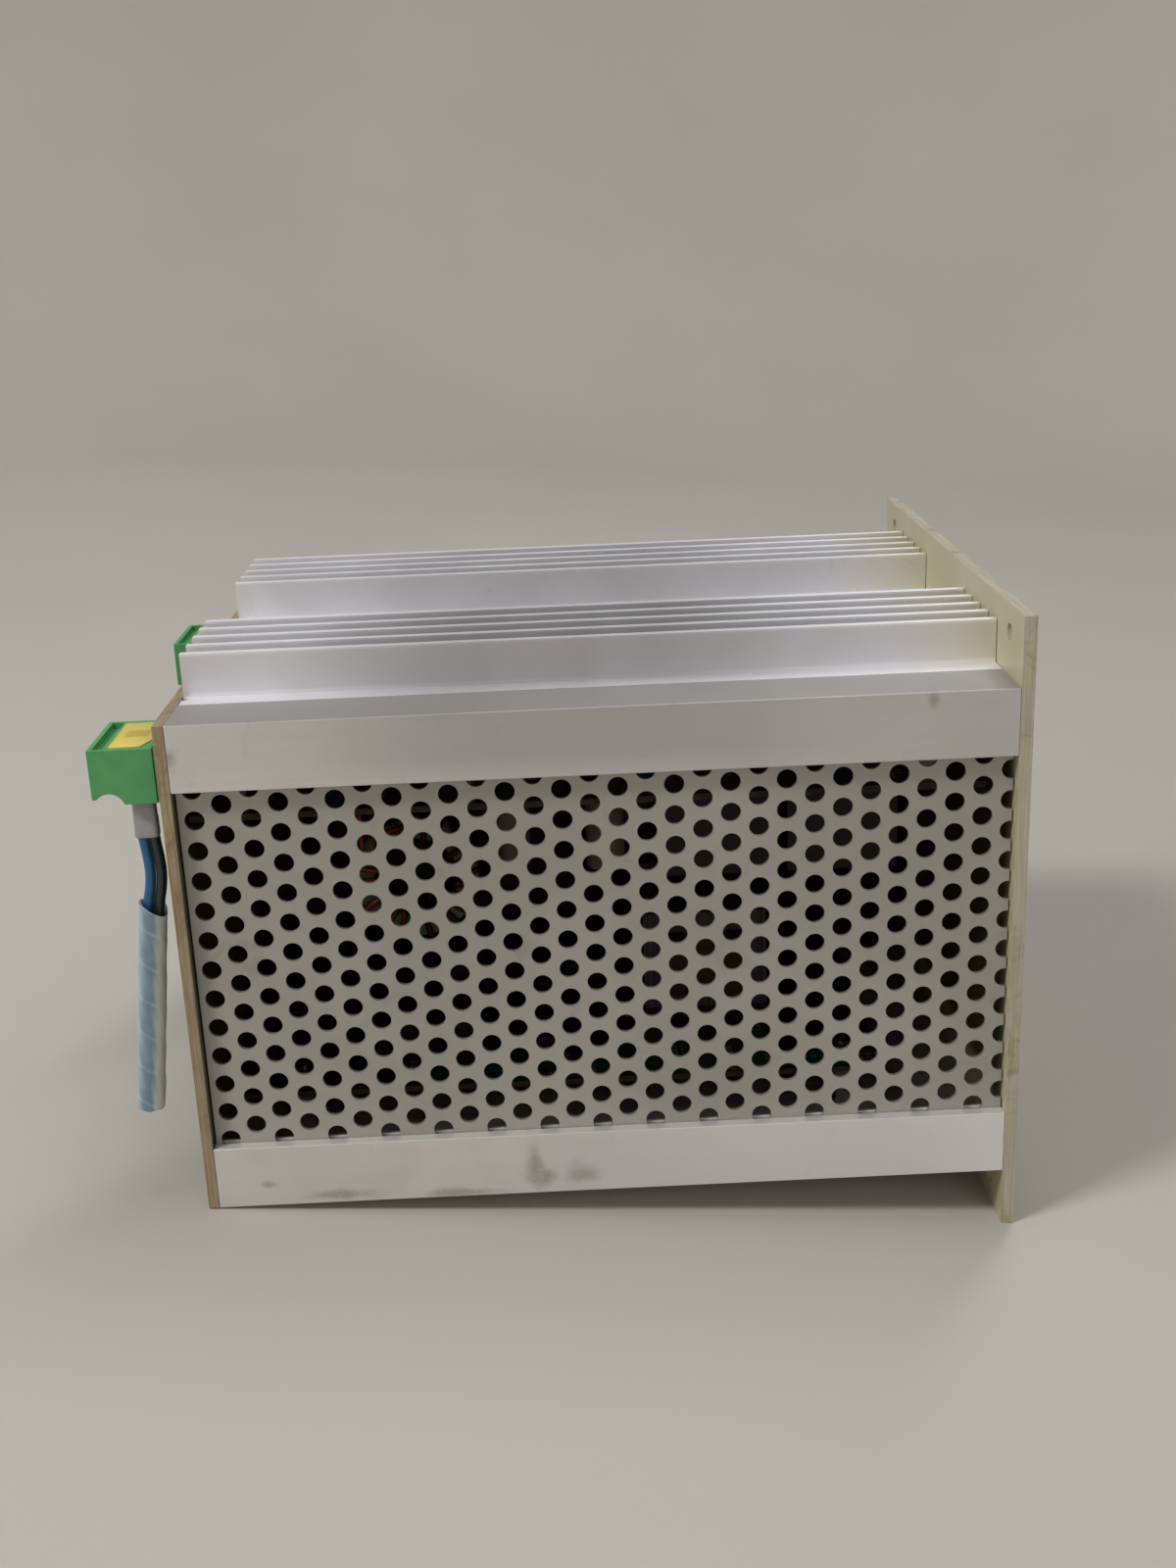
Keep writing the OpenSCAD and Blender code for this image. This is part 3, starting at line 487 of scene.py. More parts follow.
def wrapped():
    """Pale blue wrap tape: milky and darker over the wires, with painted highlights along its laps
    and on its sides.
    """
    f = Finish("sleeve_wrap", 0.36, 0.0, Subsurface_Weight=0.18, Subsurface_Scale=0.002,
               Coat_Weight=0.3, Coat_Roughness=0.25)
    seam = f.node("ShaderNodeVertexColor", layer_name="seam").outputs["Color"]
    cloud = f.noise(160, 4, 0.6, 0.6)
    base = f.mix(f.between(cloud, 0.3, 0.7), shade(124, 152, 174), shade(144, 170, 188))
    smear = f.between(f.noise(1.0, 4, 0.6, at=f.stretched(700, 700, 60)), 0.5, 0.75, 0.0, 0.25)
    base = f.mix(smear, base, shade(160, 182, 192))
    base = f.mix(f.between(f.noise(380, 5, 0.7), 0.64, 0.78, 0.0, 0.35), base, shade(96, 112, 122))
    # Painted highlight: the tape is paler along the edges of its laps.
    base = f.mix(f.sum("MULTIPLY", seam, 0.75), base, shade(182, 200, 206))
    across = f.parts(f.coords.outputs["Normal"])[0]
    core = f.between(f.sum("ABSOLUTE", across), 0.1, 0.7, 0.5, 0.0)
    base = f.mix(core, base, shade(86, 106, 118))
    # Painted highlights: the +X side is made much paler and the -X side a little paler.
    base = f.mix(f.between(across, 0.1, 0.7, 0.0, 0.9), base, shade(232, 232, 224))
    base = f.mix(f.between(across, -0.9, -0.5, 0.35, 0.0), base, shade(190, 204, 208))
    f.bump(f.noise(1100, 3, 0.6), 0.015, 0.3)
    f.bump(f.noise(180, 2), 0.12, 0.35)
    return f.paint(base, f.between(cloud, 0.2, 0.8, 0.30, 0.44))


def tinted_label():
    """Marker strip: dull yellow card with a browner printed band and a handled surface."""
    f = Finish("marker_strip", 0.5, 0.0)
    band = f.between(f.sum("ABSOLUTE", f.sum("ADD", f.parts(f.place)[1], 0.0716)),
                     0.0022, 0.0034, 1.0, 0.0)
    x = f.parts(f.place)[0]
    inside = f.sum("MULTIPLY", f.between(x, -0.2226, -0.2216),
                   f.between(x, -0.2165, -0.2155, 1.0, 0.0))
    cloud = f.noise(200, 4, 0.6, 0.5)
    colour = f.mix(f.between(cloud, 0.3, 0.7), shade(208, 188, 88), shade(216, 198, 100))
    colour = f.mix(f.sum("MULTIPLY", f.sum("MULTIPLY", band, inside), 0.8), colour,
                   shade(184, 160, 64))
    colour = f.mix(f.between(f.noise(620, 4, 0.7), 0.6, 0.8, 0.0, 0.3), colour, shade(160, 142, 70))
    f.bump(f.noise(1600, 3), 0.01, 0.4)
    return f.paint(colour, f.between(cloud, 0.2, 0.8, 0.42, 0.58))


def wound(name, colour, second, axis, pitch, roughness=0.4):
    """Tape or lamination layers across one axis."""
    f = Finish(name, roughness, 0.0)
    scales = [1 / (pitch * MM) if i == axis else 20 for i in range(3)]
    layers = f.noise(1.0, 2, 0.5, at=f.stretched(*scales))
    shown = f.mix(f.between(layers, 0.35, 0.65), colour, second)
    f.bump(layers, 0.08, 0.5)
    f.bump(f.noise(900, 3), 0.02, 0.3)
    return f.paint(shown)


def clear_glass():
    """Fuse glass with a little haze."""
    f = Finish("fuse_glass", 0.05, 0.0, IOR=1.48, Transmission_Weight=0.92)
    f.bump(f.noise(260, 2), 0.01, 0.2)
    haze = f.noise(500, 3)
    colour = f.mix(f.between(haze, 0.3, 0.7, 0.0, 0.2), shade(240, 245, 242), shade(215, 222, 218))
    return f.paint(colour, f.between(haze, 0.3, 0.7, 0.03, 0.10))


def stage_paper():
    """Pale matt paper with barely visible clouds."""
    f = Finish("stage_paper", 0.85, 0.0)
    cloud = f.noise(2.2, 3, 0.5)
    return f.paint(f.mix(f.between(cloud, 0.3, 0.7), shade(182, 178, 170), shade(187, 183, 176)))


# Smudges: centre in millimetres, radius, and how far each axis is squashed.
RAIL_SMUDGES = (
    ((-126.0, -87.5, -58.0), 5.0, (1.5, 0.3, 0.6)), ((-124.0, -87.5, -62.0), 4.4, (0.7, 0.3, 1.4)),
    ((-113.5, -87.5, -62.0), 6.0, (0.8, 0.3, 1.5)), ((-24.4, -87.5, 63.0), 2.6, (1.2, 0.3, 0.8)),
    ((-208.6, -87.5, 56.5), 2.2, (1.0, 0.3, 0.6)), ((-178.0, -87.5, -64.5), 6.0, (0.5, 0.3, 3.4)),
    ((-146.0, -87.5, -65.6), 7.0, (0.5, 0.3, 4.2)), ((-196.0, -87.5, -60.5), 2.4, (0.7, 0.3, 1.3)),
)
finishes = {
    "plate": laminate("plate_laminate", shade(196, 190, 160), shade(184, 177, 144),
                      shade(184, 178, 158), shade(164, 157, 138), 0),
    "wiring_board": circuit("wiring_board_lacquer", 0,
                            (shade(162, 144, 114), shade(134, 116, 90), shade(112, 88, 62)),
                            inner=shade(84, 76, 56)),
    # The inner boards' edges are painted darker than the wiring board's, as painted shade inside
    # the case.
    "board": circuit("board_lacquer", 2, (shade(74, 70, 46), shade(58, 56, 38), shade(48, 44, 30))),
    # Rails: the pair of ledge colours paints a highlight on the low ledges and shade on the high
    # ones, and the middle of the top gets a painted dark reflection.
    "rail": extruded("rail_aluminium", shade(206, 203, 200), shade(220, 217, 215), None,
                     RAIL_SMUDGES, 0.42, 0.5, (shade(218, 217, 214), shade(158, 156, 153)),
                     dark_reflection=0.35),
    # Heat sinks: the cream colour is a painted reflection of the plate, and the fins get painted
    # highlights on their edges and foot and a painted dark reflection in the middle.
    "heat_sink": extruded("heat_sink_aluminium", shade(218, 217, 223), shade(232, 232, 238),
                          shade(222, 217, 196), roughness=0.43, metal_share=0.5, fin_highlights=True,
                          dark_reflection=0.5),
    "cover": extruded("cover_aluminium", shade(160, 158, 156), shade(178, 176, 174),
                      roughness=0.48),
    "grille": sheet_metal(),
    "green": moulded("terminal_green", shade(74, 146, 86), shade(84, 156, 96), 0.44),
    "green_dark": moulded("header_green", shade(62, 132, 74), shade(74, 144, 86), 0.4),
    "label": tinted_label(),
    "label_pale": moulded("pale_marker_strip", shade(188, 188, 192), shade(200, 200, 203), 0.5),
    "collar": moulded("collar_grey", shade(150, 150, 151), shade(160, 160, 160), 0.5),
    "wire_blue": moulded("wire_blue", shade(22, 78, 124), shade(30, 92, 140), 0.34,
                         Coat_Weight=0.3),
    "wire_dark": moulded("wire_dark", shade(20, 26, 34), shade(28, 36, 46), 0.34, Coat_Weight=0.3),
    "sleeve": wrapped(),
    "black": moulded("black_plastic", shade(16, 16, 17), shade(23, 23, 24), 0.62),
    "package": moulded("moulded_package", shade(30, 30, 32), shade(42, 42, 44), 0.58, 1500),
    "chip": moulded("chip_epoxy", shade(34, 34, 36), shade(46, 46, 48), 0.52, 1700),
    "relay": moulded("relay_case", shade(19, 19, 21), shade(27, 27, 29), 0.45),
    "pad": moulded("insulating_pad", shade(176, 172, 166), shade(190, 186, 180), 0.62),
    "ferrite": moulded("ferrite_core", shade(84, 86, 76), shade(104, 105, 92), 0.62, 1300),
    "can": moulded("capacitor_sleeve", shade(15, 18, 28), shade(21, 25, 37), 0.4, Coat_Weight=0.1),
    "small_can": moulded("small_capacitor_sleeve", shade(102, 96, 88), shade(118, 111, 102), 0.5),
    "can_top": metal("capacitor_top", shade(186, 186, 188), shade(206, 206, 208), 0.34),
    "copper": metal("enamelled_copper", shade(118, 50, 34), shade(136, 64, 44), 0.34, metallic=0.85,
                    darker_from=-0.158),
    "steel": metal("zinc_plated_steel", shade(178, 176, 170), shade(200, 198, 192), 0.3,
                   (200, 2400, 2400)),
    "dark_steel": metal("black_oxide_steel", shade(62, 60, 58), shade(82, 80, 78), 0.42),
    "tinned": metal("tinned_metal", shade(190, 188, 182), shade(208, 206, 200), 0.28,
                    (1800, 200, 1800)),
    "lamination": wound("lamination_stack", shade(92, 92, 94), shade(62, 62, 66), 0, 0.5, 0.5),
    "tape": wound("winding_tape", shade(70, 52, 34), shade(52, 38, 26), 2, 2.5, 0.4),
    "glass": clear_glass(),
    "floor": stage_paper(),
}
LOOK_OF = {
    "mounting_plate": "plate", "backplane_board": "wiring_board",
    "rail_top_front": "rail", "rail_top_back": "rail", "rail_bottom_front": "rail",
    "rail_bottom_back": "rail", "grille_front": "grille", "grille_back": "grille",
    "heat_sink_front": "heat_sink", "heat_sink_back": "heat_sink", "centre_strip": "cover",
    "bottom_cover": "cover", "power_board": "board", "control_board": "board",
    "board_connectors": "black", "power_transistors": "package", "insulating_pads": "pad",
    "transistor_screws": "steel", "sink_screws": "dark_steel", "end_screws": "steel",
    "power_standoffs": "steel", "control_standoffs": "steel", "board_screws": "steel",
    "choke_core": "ferrite", "choke_winding": "copper", "dc_capacitors": "can",
    "small_capacitors": "can", "relays": "relay", "fuse_clips": "tinned", "fuse": "glass",
    "transformer_core": "lamination", "transformer_coil": "tape", "control_chips": "chip",
    "header_1": "green_dark", "header_2": "green_dark", "header_pins": "tinned",
    "plug_1_housing": "green", "plug_1_contacts": "tinned", "plug_1_label": "label",
    "plug_2_housing": "green", "plug_2_contacts": "tinned", "plug_2_label": "label_pale",
    "ferrule_tube": "tinned", "ferrule_collar": "collar", "wire_blue": "wire_blue",
    "wire_dark": "wire_dark", "cable_sleeve": "sleeve",
}
for i in range(1, 7):
    LOOK_OF[f"clamp_screw_{i}"] = "steel"
    LOOK_OF[f"clamp_cage_{i}"] = "tinned"


def dress(obj, finish):
    """Gives an object one finish all over."""
    obj.data.materials.clear()
    obj.data.materials.append(finishes[finish])
    return obj


def piece(obj, finish, body, slot, *stands_for):
    """Gives a made piece its finish and its body, and hides the CAD nodes that it stands for."""
    dress(obj, finish)
    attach(obj, body)
    if stands_for:
        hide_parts(*stands_for)
    return obj


for name, obj in nodes.items():
    for place in obj.material_slots:
        place.material = finishes[LOOK_OF[name]]
    if not obj.material_slots:
        dress(obj, LOOK_OF[name])


# ---- The cable stub -----------------------------------------------------------------------------

CABLE_Y = -79.12
WIRE_D = 2.7
# (x, z) points along each wire's axis, in millimetres, from the collar down to the cut end.
BLUE_ROUTE = ((-219.1, 34.4), (-218.9, 32), (-218.6, 29), (-218.45, 26), (-218.6, 23),
              (-219.1, 20), (-219.8, 17), (-220.4, 14), (-221.15, 8.4), (-221.85, 2.8),
              (-222.5, -2.8), (-223.2, -8.4), (-223.9, -14), (-224.6, -19.6), (-225.3, -25.2),
              (-225.95, -30.8), (-226.65, -36.4), (-227.05, -39.8))
DARK_ROUTE = ((-216.3, 34.4), (-216.1, 32), (-215.8, 29), (-215.65, 26), (-215.8, 23),
              (-216.3, 20), (-217.0, 17), (-217.6, 14), (-218.35, 8.4), (-219.05, 2.8),
              (-219.7, -2.8), (-220.4, -8.4), (-221.1, -14), (-221.8, -19.6), (-222.5, -25.2),
              (-223.15, -30.8), (-223.85, -36.4), (-224.3, -40))


def wire(name, route):
    """A wire as a curve along its route, with its own round section and closed ends."""
    curve = bpy.data.curves.new(name, "CURVE")
    curve.dimensions = "3D"
    curve.bevel_depth = WIRE_D / 2 * MM
    curve.bevel_resolution = 5
    curve.use_fill_caps = True
    curve.resolution_u = 4
    line = curve.splines.new("BEZIER")
    line.bezier_points.add(len(route) - 1)
    for knot, (x, z) in zip(line.bezier_points, route):
        knot.co = mm(x, CABLE_Y, z)
        knot.handle_left_type = knot.handle_right_type = "AUTO"
    return add_object(name, curve)


blue = piece(wire("blue_wire", BLUE_ROUTE), "wire_blue", "plug_1", "wire_blue", "wire_blue")
dark = piece(wire("dark_wire", DARK_ROUTE), "wire_dark", "plug_1", "wire_dark", "wire_dark")


def sleeve_mesh():
    """Tape wrapped round both wires: a slanted mouth with a torn tip, and overlapping turns."""
    top, foot = mm(-218.7, CABLE_Y, 16.9), mm(-225.74, CABLE_Y, -40.47)
    down = (foot - top).normalized()
    length = (foot - top).length
    back = Vector((0, 1, 0))
    right = back.cross(down).normalized()
    if right.x < 0:
        right = -right
    around, along = 56, 132
    outer, wall, pitch = 3.72, 0.55, 9.6 * MM
    lap_height, lap_gap, seam_share = 0.10, 0.04, 0.085
    rings, seams = [], []
    for side in (0, 1):
        steps = range(along) if side == 0 else reversed(range(along))
        for i in steps:
            ring, seam = [], []
            for k in range(around):
                a = 2 * math.pi * k / around
                slant = 1.75 * (1 + math.cos(a)) * MM
                tip = 2.4 * MM * math.exp(-((math.degrees(a) - 52) / 24) ** 2)
                frayed = 0.25 * MM * math.sin(5 * a) * math.sin(2 * a + 1)
                start = slant - tip
                end = length + frayed - 0.3 * MM
                s = start + (end - start) * (i / (along - 1))
                phase = (s / pitch - a / (2 * math.pi)) % 1
                lap = lap_height * (1 - phase) if phase > lap_gap else -0.05
                crease = 0.05 * math.sin(3 * a + s * 260) + 0.04 * math.sin(7 * a - s * 610)
                r = (outer - 0.12 + lap + crease - (wall if side else 0)) * MM
                flat = 1 - 0.03 * math.cos(2 * a)
                out = right * math.cos(a) * flat + back * math.sin(a) / flat
                ring.append(top + down * s + out * r)
                seam.append(1 - phase / seam_share if phase < seam_share
                            else max(0.0, (phase - 0.97) / 0.03))
            rings.append(ring)
            seams += seam
    rings.append(rings[0])
    seams += seams[:around]
    solid = Solid()
    solid.rings(rings, caps=False)
    mesh = bpy.data.meshes.new("wrapped_sleeve")
    mesh.from_pydata([tuple(p) for p in solid.points], [], solid.faces)
    # The seam attribute carries the painted highlight along the laps.
    tone = mesh.color_attributes.new("seam", "FLOAT_COLOR", "POINT")
    for i, s in enumerate(seams):
        tone.data[i].color = (s, s, s, 1)
    bm = bmesh.new()
    bm.from_mesh(mesh)
    bmesh.ops.remove_doubles(bm, verts=bm.verts, dist=1e-7)
    bmesh.ops.recalc_face_normals(bm, faces=bm.faces)
    bm.to_mesh(mesh)
    bm.free()
    mesh.shade_smooth()
    mesh.set_sharp_from_angle(angle=math.radians(62))
    return add_object("wrapped_sleeve", mesh)


sleeve = piece(sleeve_mesh(), "sleeve", "plug_1", "sleeve", "cable_sleeve")


def collar_mesh():
    """The twin ferrule's moulded collar: a soft-edged funnel, fuller at the wire end."""
    low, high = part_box("ferrule_collar")
    middle = (low + high) / 2
    half_x, half_y = (high.x - low.x) / 2, (high.y - low.y) / 2
    solid, rings = Solid(), []
    tall = high.z - low.z
    for share, grow in ((0, 0.90), (0.02, 0.97), (0.06, 1.0), (0.45, 0.985), (0.5, 0.95),
                        (0.94, 0.93), (0.985, 0.90), (1, 0.84)):
        ring = []
        for k in range(40):
            a = 2 * math.pi * (k + 0.5) / 40
            c, s = math.cos(a), math.sin(a)
            x = math.copysign(abs(c) ** 0.42, c) * half_x * grow
            y = math.copysign(abs(s) ** 0.42, s) * half_y * grow
            ring.append(Vector((middle.x + x, middle.y + y, low.z + tall * share)))
        rings.append(ring)
    solid.rings(rings)
    return solid.made("twin_ferrule_collar", 50)


collar = piece(collar_mesh(), "collar", "plug_1", "collar_grey", "ferrule_collar")


def strands():
    """The cut conductors at the wires' lower ends: seven bare copper strands each."""
    solid = Solid()
    for route in (BLUE_ROUTE, DARK_ROUTE):
        (x0, z0), (x1, z1) = route[-2:]
        run = Vector((x1 - x0, 0, z1 - z0)).normalized()
        across = Vector((run.z, 0, -run.x))
        end = Vector((x1, CABLE_Y, z1))
        for k in range(7):    # six strands round the seventh
            a = 2 * math.pi * k / 6
            r = 0 if k == 6 else 0.52
            p = end + (across * math.cos(a) + Vector((0, 1, 0)) * math.sin(a)) * r
            sticks_out = 0.15 + 0.08 * dice.random()
            solid.tube([(p - run * 0.6) * MM, (p + run * sticks_out) * MM], 0.24 * MM)
    return solid.made("cut_strands")


strand_ends = piece(strands(), "copper", "plug_1", "copper")


# ---- Pieces that stand for plain CAD solids ------------------------------------------------------

def winding():
    """Enamelled wire wound round the choke's core, from one lead to the other."""
    centre = Vector((-153, -64.9, 16.6))
    turns, steps, gauge = 24, 26, 0.8
    half_r, half_y, middle = 3.6, 6.9, 13.3    # the wound section, and its distance from the axis
    begin, sweep = math.radians(150.3), math.radians(345)
    squareness, lead_y, lead_top = 0.36, -73.4, 35.6

    def at(angle, radius, depth):
        return (centre + Vector((radius * math.cos(angle), depth, radius * math.sin(angle)))) * MM

    path = [mm(-166, lead_y, lead_top), mm(-166, lead_y, 30), mm(-166, lead_y, 26),
            mm(-166, lead_y + 0.2, 24.4)]
    for i in range(turns * steps + 1):
        t = i / steps
        angle = begin + sweep * t / turns
        turn = 2 * math.pi * (t % 1)
        c, s = math.cos(turn - math.pi / 2), math.sin(turn - math.pi / 2)
        radial = math.copysign(abs(c) ** squareness, c) * half_r
        axial = math.copysign(abs(s) ** squareness, s) * half_y
        path.append(at(angle, middle + radial, axial))
    last = begin + sweep
    for share in (0.15, 0.35, 0.6, 0.85):
        angle = last + (math.radians(29.7 + 360) - last) * share
        path.append(at(angle, 15.4, -8.5))
    path += [mm(-140, lead_y, 25), mm(-140, lead_y, 29), mm(-140, lead_y, lead_top)]
    solid = Solid()
    solid.tube(path, gauge * MM, 10)
    return solid.made("choke_wire", 80)


piece(winding(), "copper", "case", "copper", "choke_winding")


def cans(name, finish, places, radius, low, high, downwards=False):
    """Capacitor sleeves with a rolled neck, a shrunk rim, and a scored metal end."""
    sleeves, ends = Solid(), Solid()
    tall = high - low
    for x, y in places:
        base, axis = (mm(x, y, high), (0, 0, -1)) if downwards else (mm(x, y, low), (0, 0, 1))
        neck = radius * 0.16
        sleeve_outline = [
            (0.80, 0.0), (0.96, 0.0), (0.995, 0.35), (1, 0.8), (1, neck),
            (0.985, neck + 0.3), (0.93, neck + 0.9), (0.93, neck + 1.2), (0.985, neck + 1.8),
            (1, neck + 2.2), (1, tall - 0.9), (0.985, tall - 0.35), (0.95, tall - 0.08),
            (0.90, tall - 0.02), (0.86, tall - 0.1)]
        end_outline = [(0.84, tall - 0.6), (0.85, tall - 0.16), (0.80, tall - 0.05),
                       (0.3, tall - 0.05), (0.02, tall - 0.05)]
        sleeves.lathe([(radius * share, h) for share, h in sleeve_outline], base, axis, 56)
        ends.lathe([(radius * share, h) for share, h in end_outline], base, axis, 48)
    piece(sleeves.made(name + "_sleeves", 50), finish, "case", finish, name)
    piece(ends.made(name + "_ends", 40), "can_top", "case", "small_can")


cans("dc_capacitors", "can", ((-95, 22), (-50, 22)), 17.5, -14, 36)
cans("small_capacitors", "small_can", ((-128.7, -56), (-104, -60)), 5.0, 14, 36, downwards=True)


def fuse():
    """A glass tube fuse: a thin glass body, two pressed caps, and the wire inside."""
    y, z, r, half, middle = 40, 28.5, 2.6, 10, -178
    start = mm(middle - half, y, z)
    body, metal_parts = Solid(), Solid()
    body.lathe([(r * 0.93, 4.4), (r * 0.94, 4.6), (r * 0.94, 15.4), (r * 0.93, 15.6)],
               start, (1, 0, 0), 32)
    for low, high in ((0, 5), (15, 20)):
        metal_parts.lathe([(r * 0.8, low), (r * 0.97, low + 0.15), (r, low + 0.5), (r, high - 0.2),
                           (r * 0.96, high)], start, (1, 0, 0), 32)
    metal_parts.tube([mm(middle - 6, y, z), mm(middle - 2, y, z + 0.2), mm(middle + 2, y, z - 0.2),
                      mm(middle + 6, y, z)], 0.12 * MM)
    piece(body.made("fuse_tube"), "glass", "case", "fuse_glass", "fuse")
    piece(metal_parts.made("fuse_caps"), "tinned", "case", "tinned")


fuse()


def label(name, node, cut):
    """A marker strip: a thin card with rounded corners, and a corner cut off at the front."""
    low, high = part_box(node)
    x0, x1, y0, y1 = (v / MM for v in (low.x, high.x, low.y, high.y))
    outline = [(x0 + 0.5, y0), (x1 - 0.5 - cut, y0), (x1 - 0.3 - cut * 0.75, y0 + 0.4),
               (x1 - 0.1 - cut * 0.05, y0 + 0.7 + cut * 2.1), (x1, y0 + 1.2 + cut * 2.4),
               (x1, y1 - 0.5), (x1 - 0.5, y1), (x0 + 0.5, y1), (x0, y1 - 0.5), (x0, y0 + 0.5)]
    solid = Solid()
    rings = []
    for z, inset in ((low.z / MM, 0.0), (high.z / MM - 0.05, 0.0), (high.z / MM, 0.05)):
        cx, cy = (x0 + x1) / 2, (y0 + y1) / 2
        rings.append([mm(x - math.copysign(inset, x - cx), y - math.copysign(inset, y - cy), z)
                      for x, y in outline])
    solid.rings(rings)
    return solid.made(name)


piece(label("marker_strip", "plug_1_label", 2.0), "label", "plug_1", "label", "plug_1_label")
piece(label("marker_strip_pale", "plug_2_label", 0.0), "label_pale", "plug_2", "label_pale",
      "plug_2_label")


def chip_legs():
    """Rows of bent legs along each control chip, 1.27 mm apart or a little more."""
    leg_pitch = 1.27
    obj = nodes["control_chips"]
    islands = []
    bm = bmesh.new()
    bm.from_mesh(obj.data)
    bmesh.ops.remove_doubles(bm, verts=bm.verts, dist=1e-6)
    seen = set()
    for first in bm.verts:
        if first in seen:
            continue
        seen.add(first)
        stack, found = [first], []
        while stack:
            v = stack.pop()
            found.append(v.co.copy())
            for e in v.link_edges:
                w = e.other_vert(v)
                if w not in seen:
                    seen.add(w)
                    stack.append(w)
        islands.append(found)
    bm.free()
    solid = Solid()
    for found in islands:
        lo = [min(p[i] for p in found) / MM for i in range(3)]
        hi = [max(p[i] for p in found) / MM for i in range(3)]
        long = 0 if hi[0] - lo[0] >= hi[1] - lo[1] else 1
        wide = 1 - long
        count = max(2, int((hi[long] - lo[long]) / leg_pitch) - 1)
        step = (hi[long] - lo[long]) / (count + 1)
        mid_z = (lo[2] + hi[2]) / 2
        for k in range(count):
            at = lo[long] + step * (k + 1)
            for edge, way in ((lo[wide], -1), (hi[wide], 1)):
                spots = [(edge - way * 0.2, mid_z), (edge + way * 0.35, mid_z),
                         (edge + way * 0.6, mid_z - 0.25), (edge + way * 0.7, lo[2] + 0.12),
                         (edge + way * 1.1, lo[2] + 0.1)]
                path = []
                for across, z in spots:
                    p = [0, 0, z]
                    p[long], p[wide] = at, across
                    path.append(mm(*p))
                solid.tube(path, 0.16 * MM, 6)
    return solid.made("chip_legs")


piece(chip_legs(), "dark_steel", "case", "tinned")


def liner():
    """A folded black sheet upright beside the two boards at the back, put in as painted shade so
    that the holes in the back grille look dark.
    """
    left, right, y, foot, top = -209.2, -3.2, 62.0, -62.7, 35.7
    tab, bend, thick = 6.0, 0.8, 0.25
    bends = (0.0, 0.3, 1.0)
    inner = [(y - tab, foot + thick), (y - thick - bend, foot + thick)]
    outer = [(y - tab, foot), (y - bend, foot)]
    for share in bends:
        a = math.pi / 2 * share
        outer.append((y - bend + bend * math.sin(a), foot + bend - bend * math.cos(a)))
        inner.append((y - thick - bend + bend * math.sin(a),
                      foot + thick + bend - bend * math.cos(a)))
    for share in bends:
        a = math.pi / 2 * share
        outer.append((y + bend - bend * math.cos(a), top - thick - bend + bend * math.sin(a)))
        inner.append((y - thick + bend - bend * math.cos(a), top - bend + bend * math.sin(a)))
    outer.append((y + tab, top - thick))
    inner.append((y + tab, top))
    outline = outer + inner[::-1]
    rings = []
    for k in range(41):
        x = left + (right - left) * k / 40
        wave = 0.2 * math.sin(k * 0.7) * math.sin(k * 0.23)
        rings.append([mm(x, a + wave * (1 if abs(b) < 28 else 0), b) for a, b in outline])
    solid = Solid()
    solid.rings(rings)
    return solid.made("black_shade_sheet", 35)


piece(liner(), "black", "case", "black_plastic")


# ---- Broken edges on the carried-over solids -----------------------------------------------------

# Bevel widths in millimetres.
EDGE_MM = {
    "backplane_board": 0.15, "rail_top_front": 0.3, "rail_top_back": 0.3,
    "rail_bottom_front": 0.3, "rail_bottom_back": 0.3,
    "heat_sink_front": 0.3, "heat_sink_back": 0.3, "centre_strip": 0.2, "bottom_cover": 0.2,
    "plug_1_housing": 0.12, "plug_2_housing": 0.12, "header_1": 0.2, "header_2": 0.2,
    "relays": 0.5, "power_transistors": 0.3, "transformer_coil": 0.4, "choke_core": 0.8,
}
for name, width in EDGE_MM.items():
    obj = nodes[name]
    weld = obj.modifiers.new("weld", "WELD")
    weld.merge_threshold = 1e-6
    bevel = obj.modifiers.new("bevel", "BEVEL")
    bevel.width = width * MM
    bevel.segments = 2
    bevel.limit_method = "ANGLE"
    bevel.angle_limit = math.radians(40)
    bevel.harden_normals = True


# ---- Stage and light -----------------------------------------------------------------------------

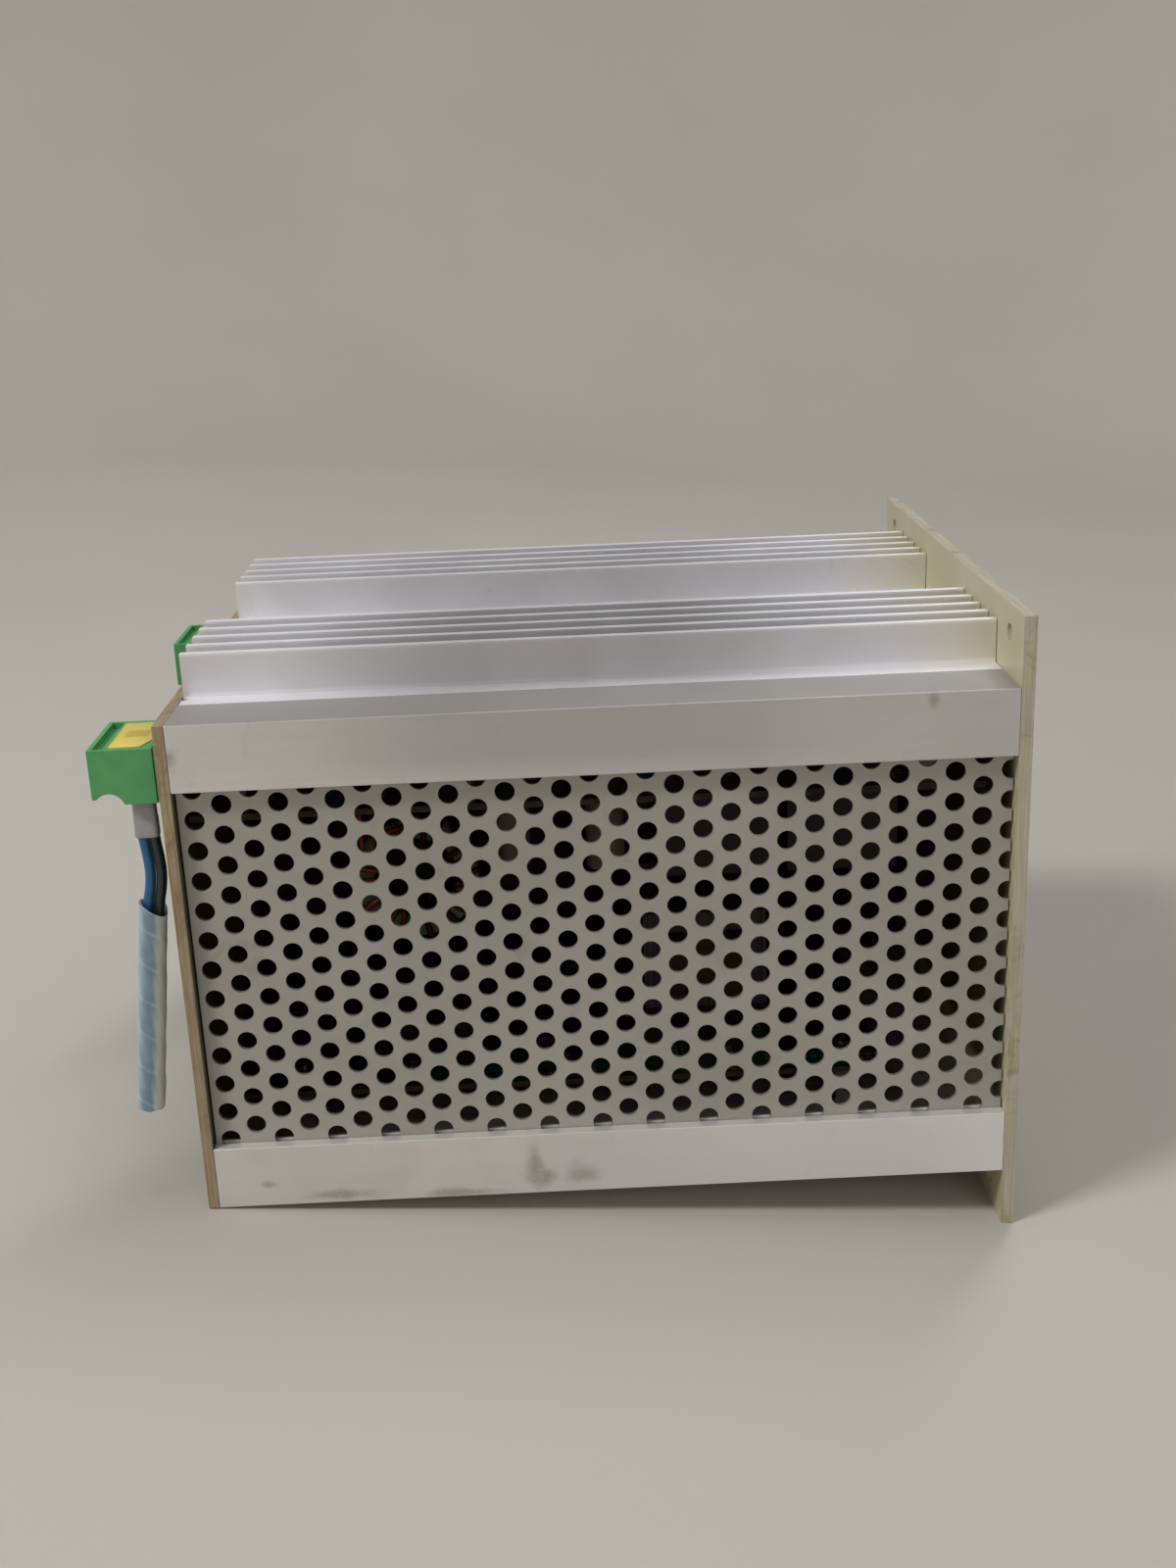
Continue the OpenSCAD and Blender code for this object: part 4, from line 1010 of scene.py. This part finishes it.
def bowl():
    """A pale floor that curves up into a wall all round, tilted to touch the object's feet."""
    foot_left, foot_right = Vector((-0.212, 0, -0.0668)), Vector((-0.0016, 0, -0.0825))
    along = (foot_right - foot_left).normalized()
    up = Vector((-along.z, 0, along.x))
    deep = Vector((0, 1, 0))
    centre = (foot_left + foot_right) / 2 - up * 0.0002
    flat, radius, rim = 1.3, 0.7, 2.6
    profile = [(r, 0.0) for r in (0.0001, 0.15, 0.4, 0.8, flat)]
    for k in range(1, 33):
        a = math.pi / 2 * k / 32
        profile.append((flat + radius * math.sin(a), radius * (1 - math.cos(a))))
    profile.append((flat + radius, rim))
    rings = []
    for r, h in profile:
        rings.append([centre + up * h + (along * math.cos(a) + deep * math.sin(a)) * r
                      for a in (2 * math.pi * k / 96 for k in range(96))])
    solid = Solid()
    solid.rings(rings, caps=False)
    made = solid.made("stage_floor", 80)
    for f in made.data.polygons:
        f.use_smooth = True
    made.data.flip_normals()
    dress(made, "floor")


bowl()


def lamp(name, place, target, power, width, depth, colour):
    """A soft rectangular lamp, in watts and metres, turned to its target."""
    light = bpy.data.lights.new(name, "AREA")
    light.shape = "RECTANGLE"
    light.size, light.size_y = width, depth
    light.energy = power
    light.color = colour
    made = add_object(name, light)
    made.visible_camera = False
    made.location = place
    made.rotation_euler = (Vector(target) - Vector(place)).to_track_quat("-Z", "Y").to_euler()


MIDDLE = (-0.11, 0, 0)
lamp("key", (-1.5, -1.0, 1.95), MIDDLE, 36.5, 0.5, 0.5, (1.0, 0.98, 0.96))
lamp("front", (0.50, -1.72, 0.75), MIDDLE, 2.8, 1.0, 1.0, (0.97, 0.99, 1.0))
lamp("overhead", (0.22, 0.45, 2.2), MIDDLE, 18, 0.3, 1.8, (0.95, 0.97, 1.0))

world = bpy.data.worlds.new("studio")
world.use_nodes = True
sky = world.node_tree.nodes["Background"]
sky.inputs["Color"].default_value = (0.86, 0.89, 0.94, 1)
sky.inputs["Strength"].default_value = 0.23
bpy.context.scene.world = world
bpy.context.scene.view_settings.view_transform = "Standard"
bpy.context.scene.view_settings.look = "None"
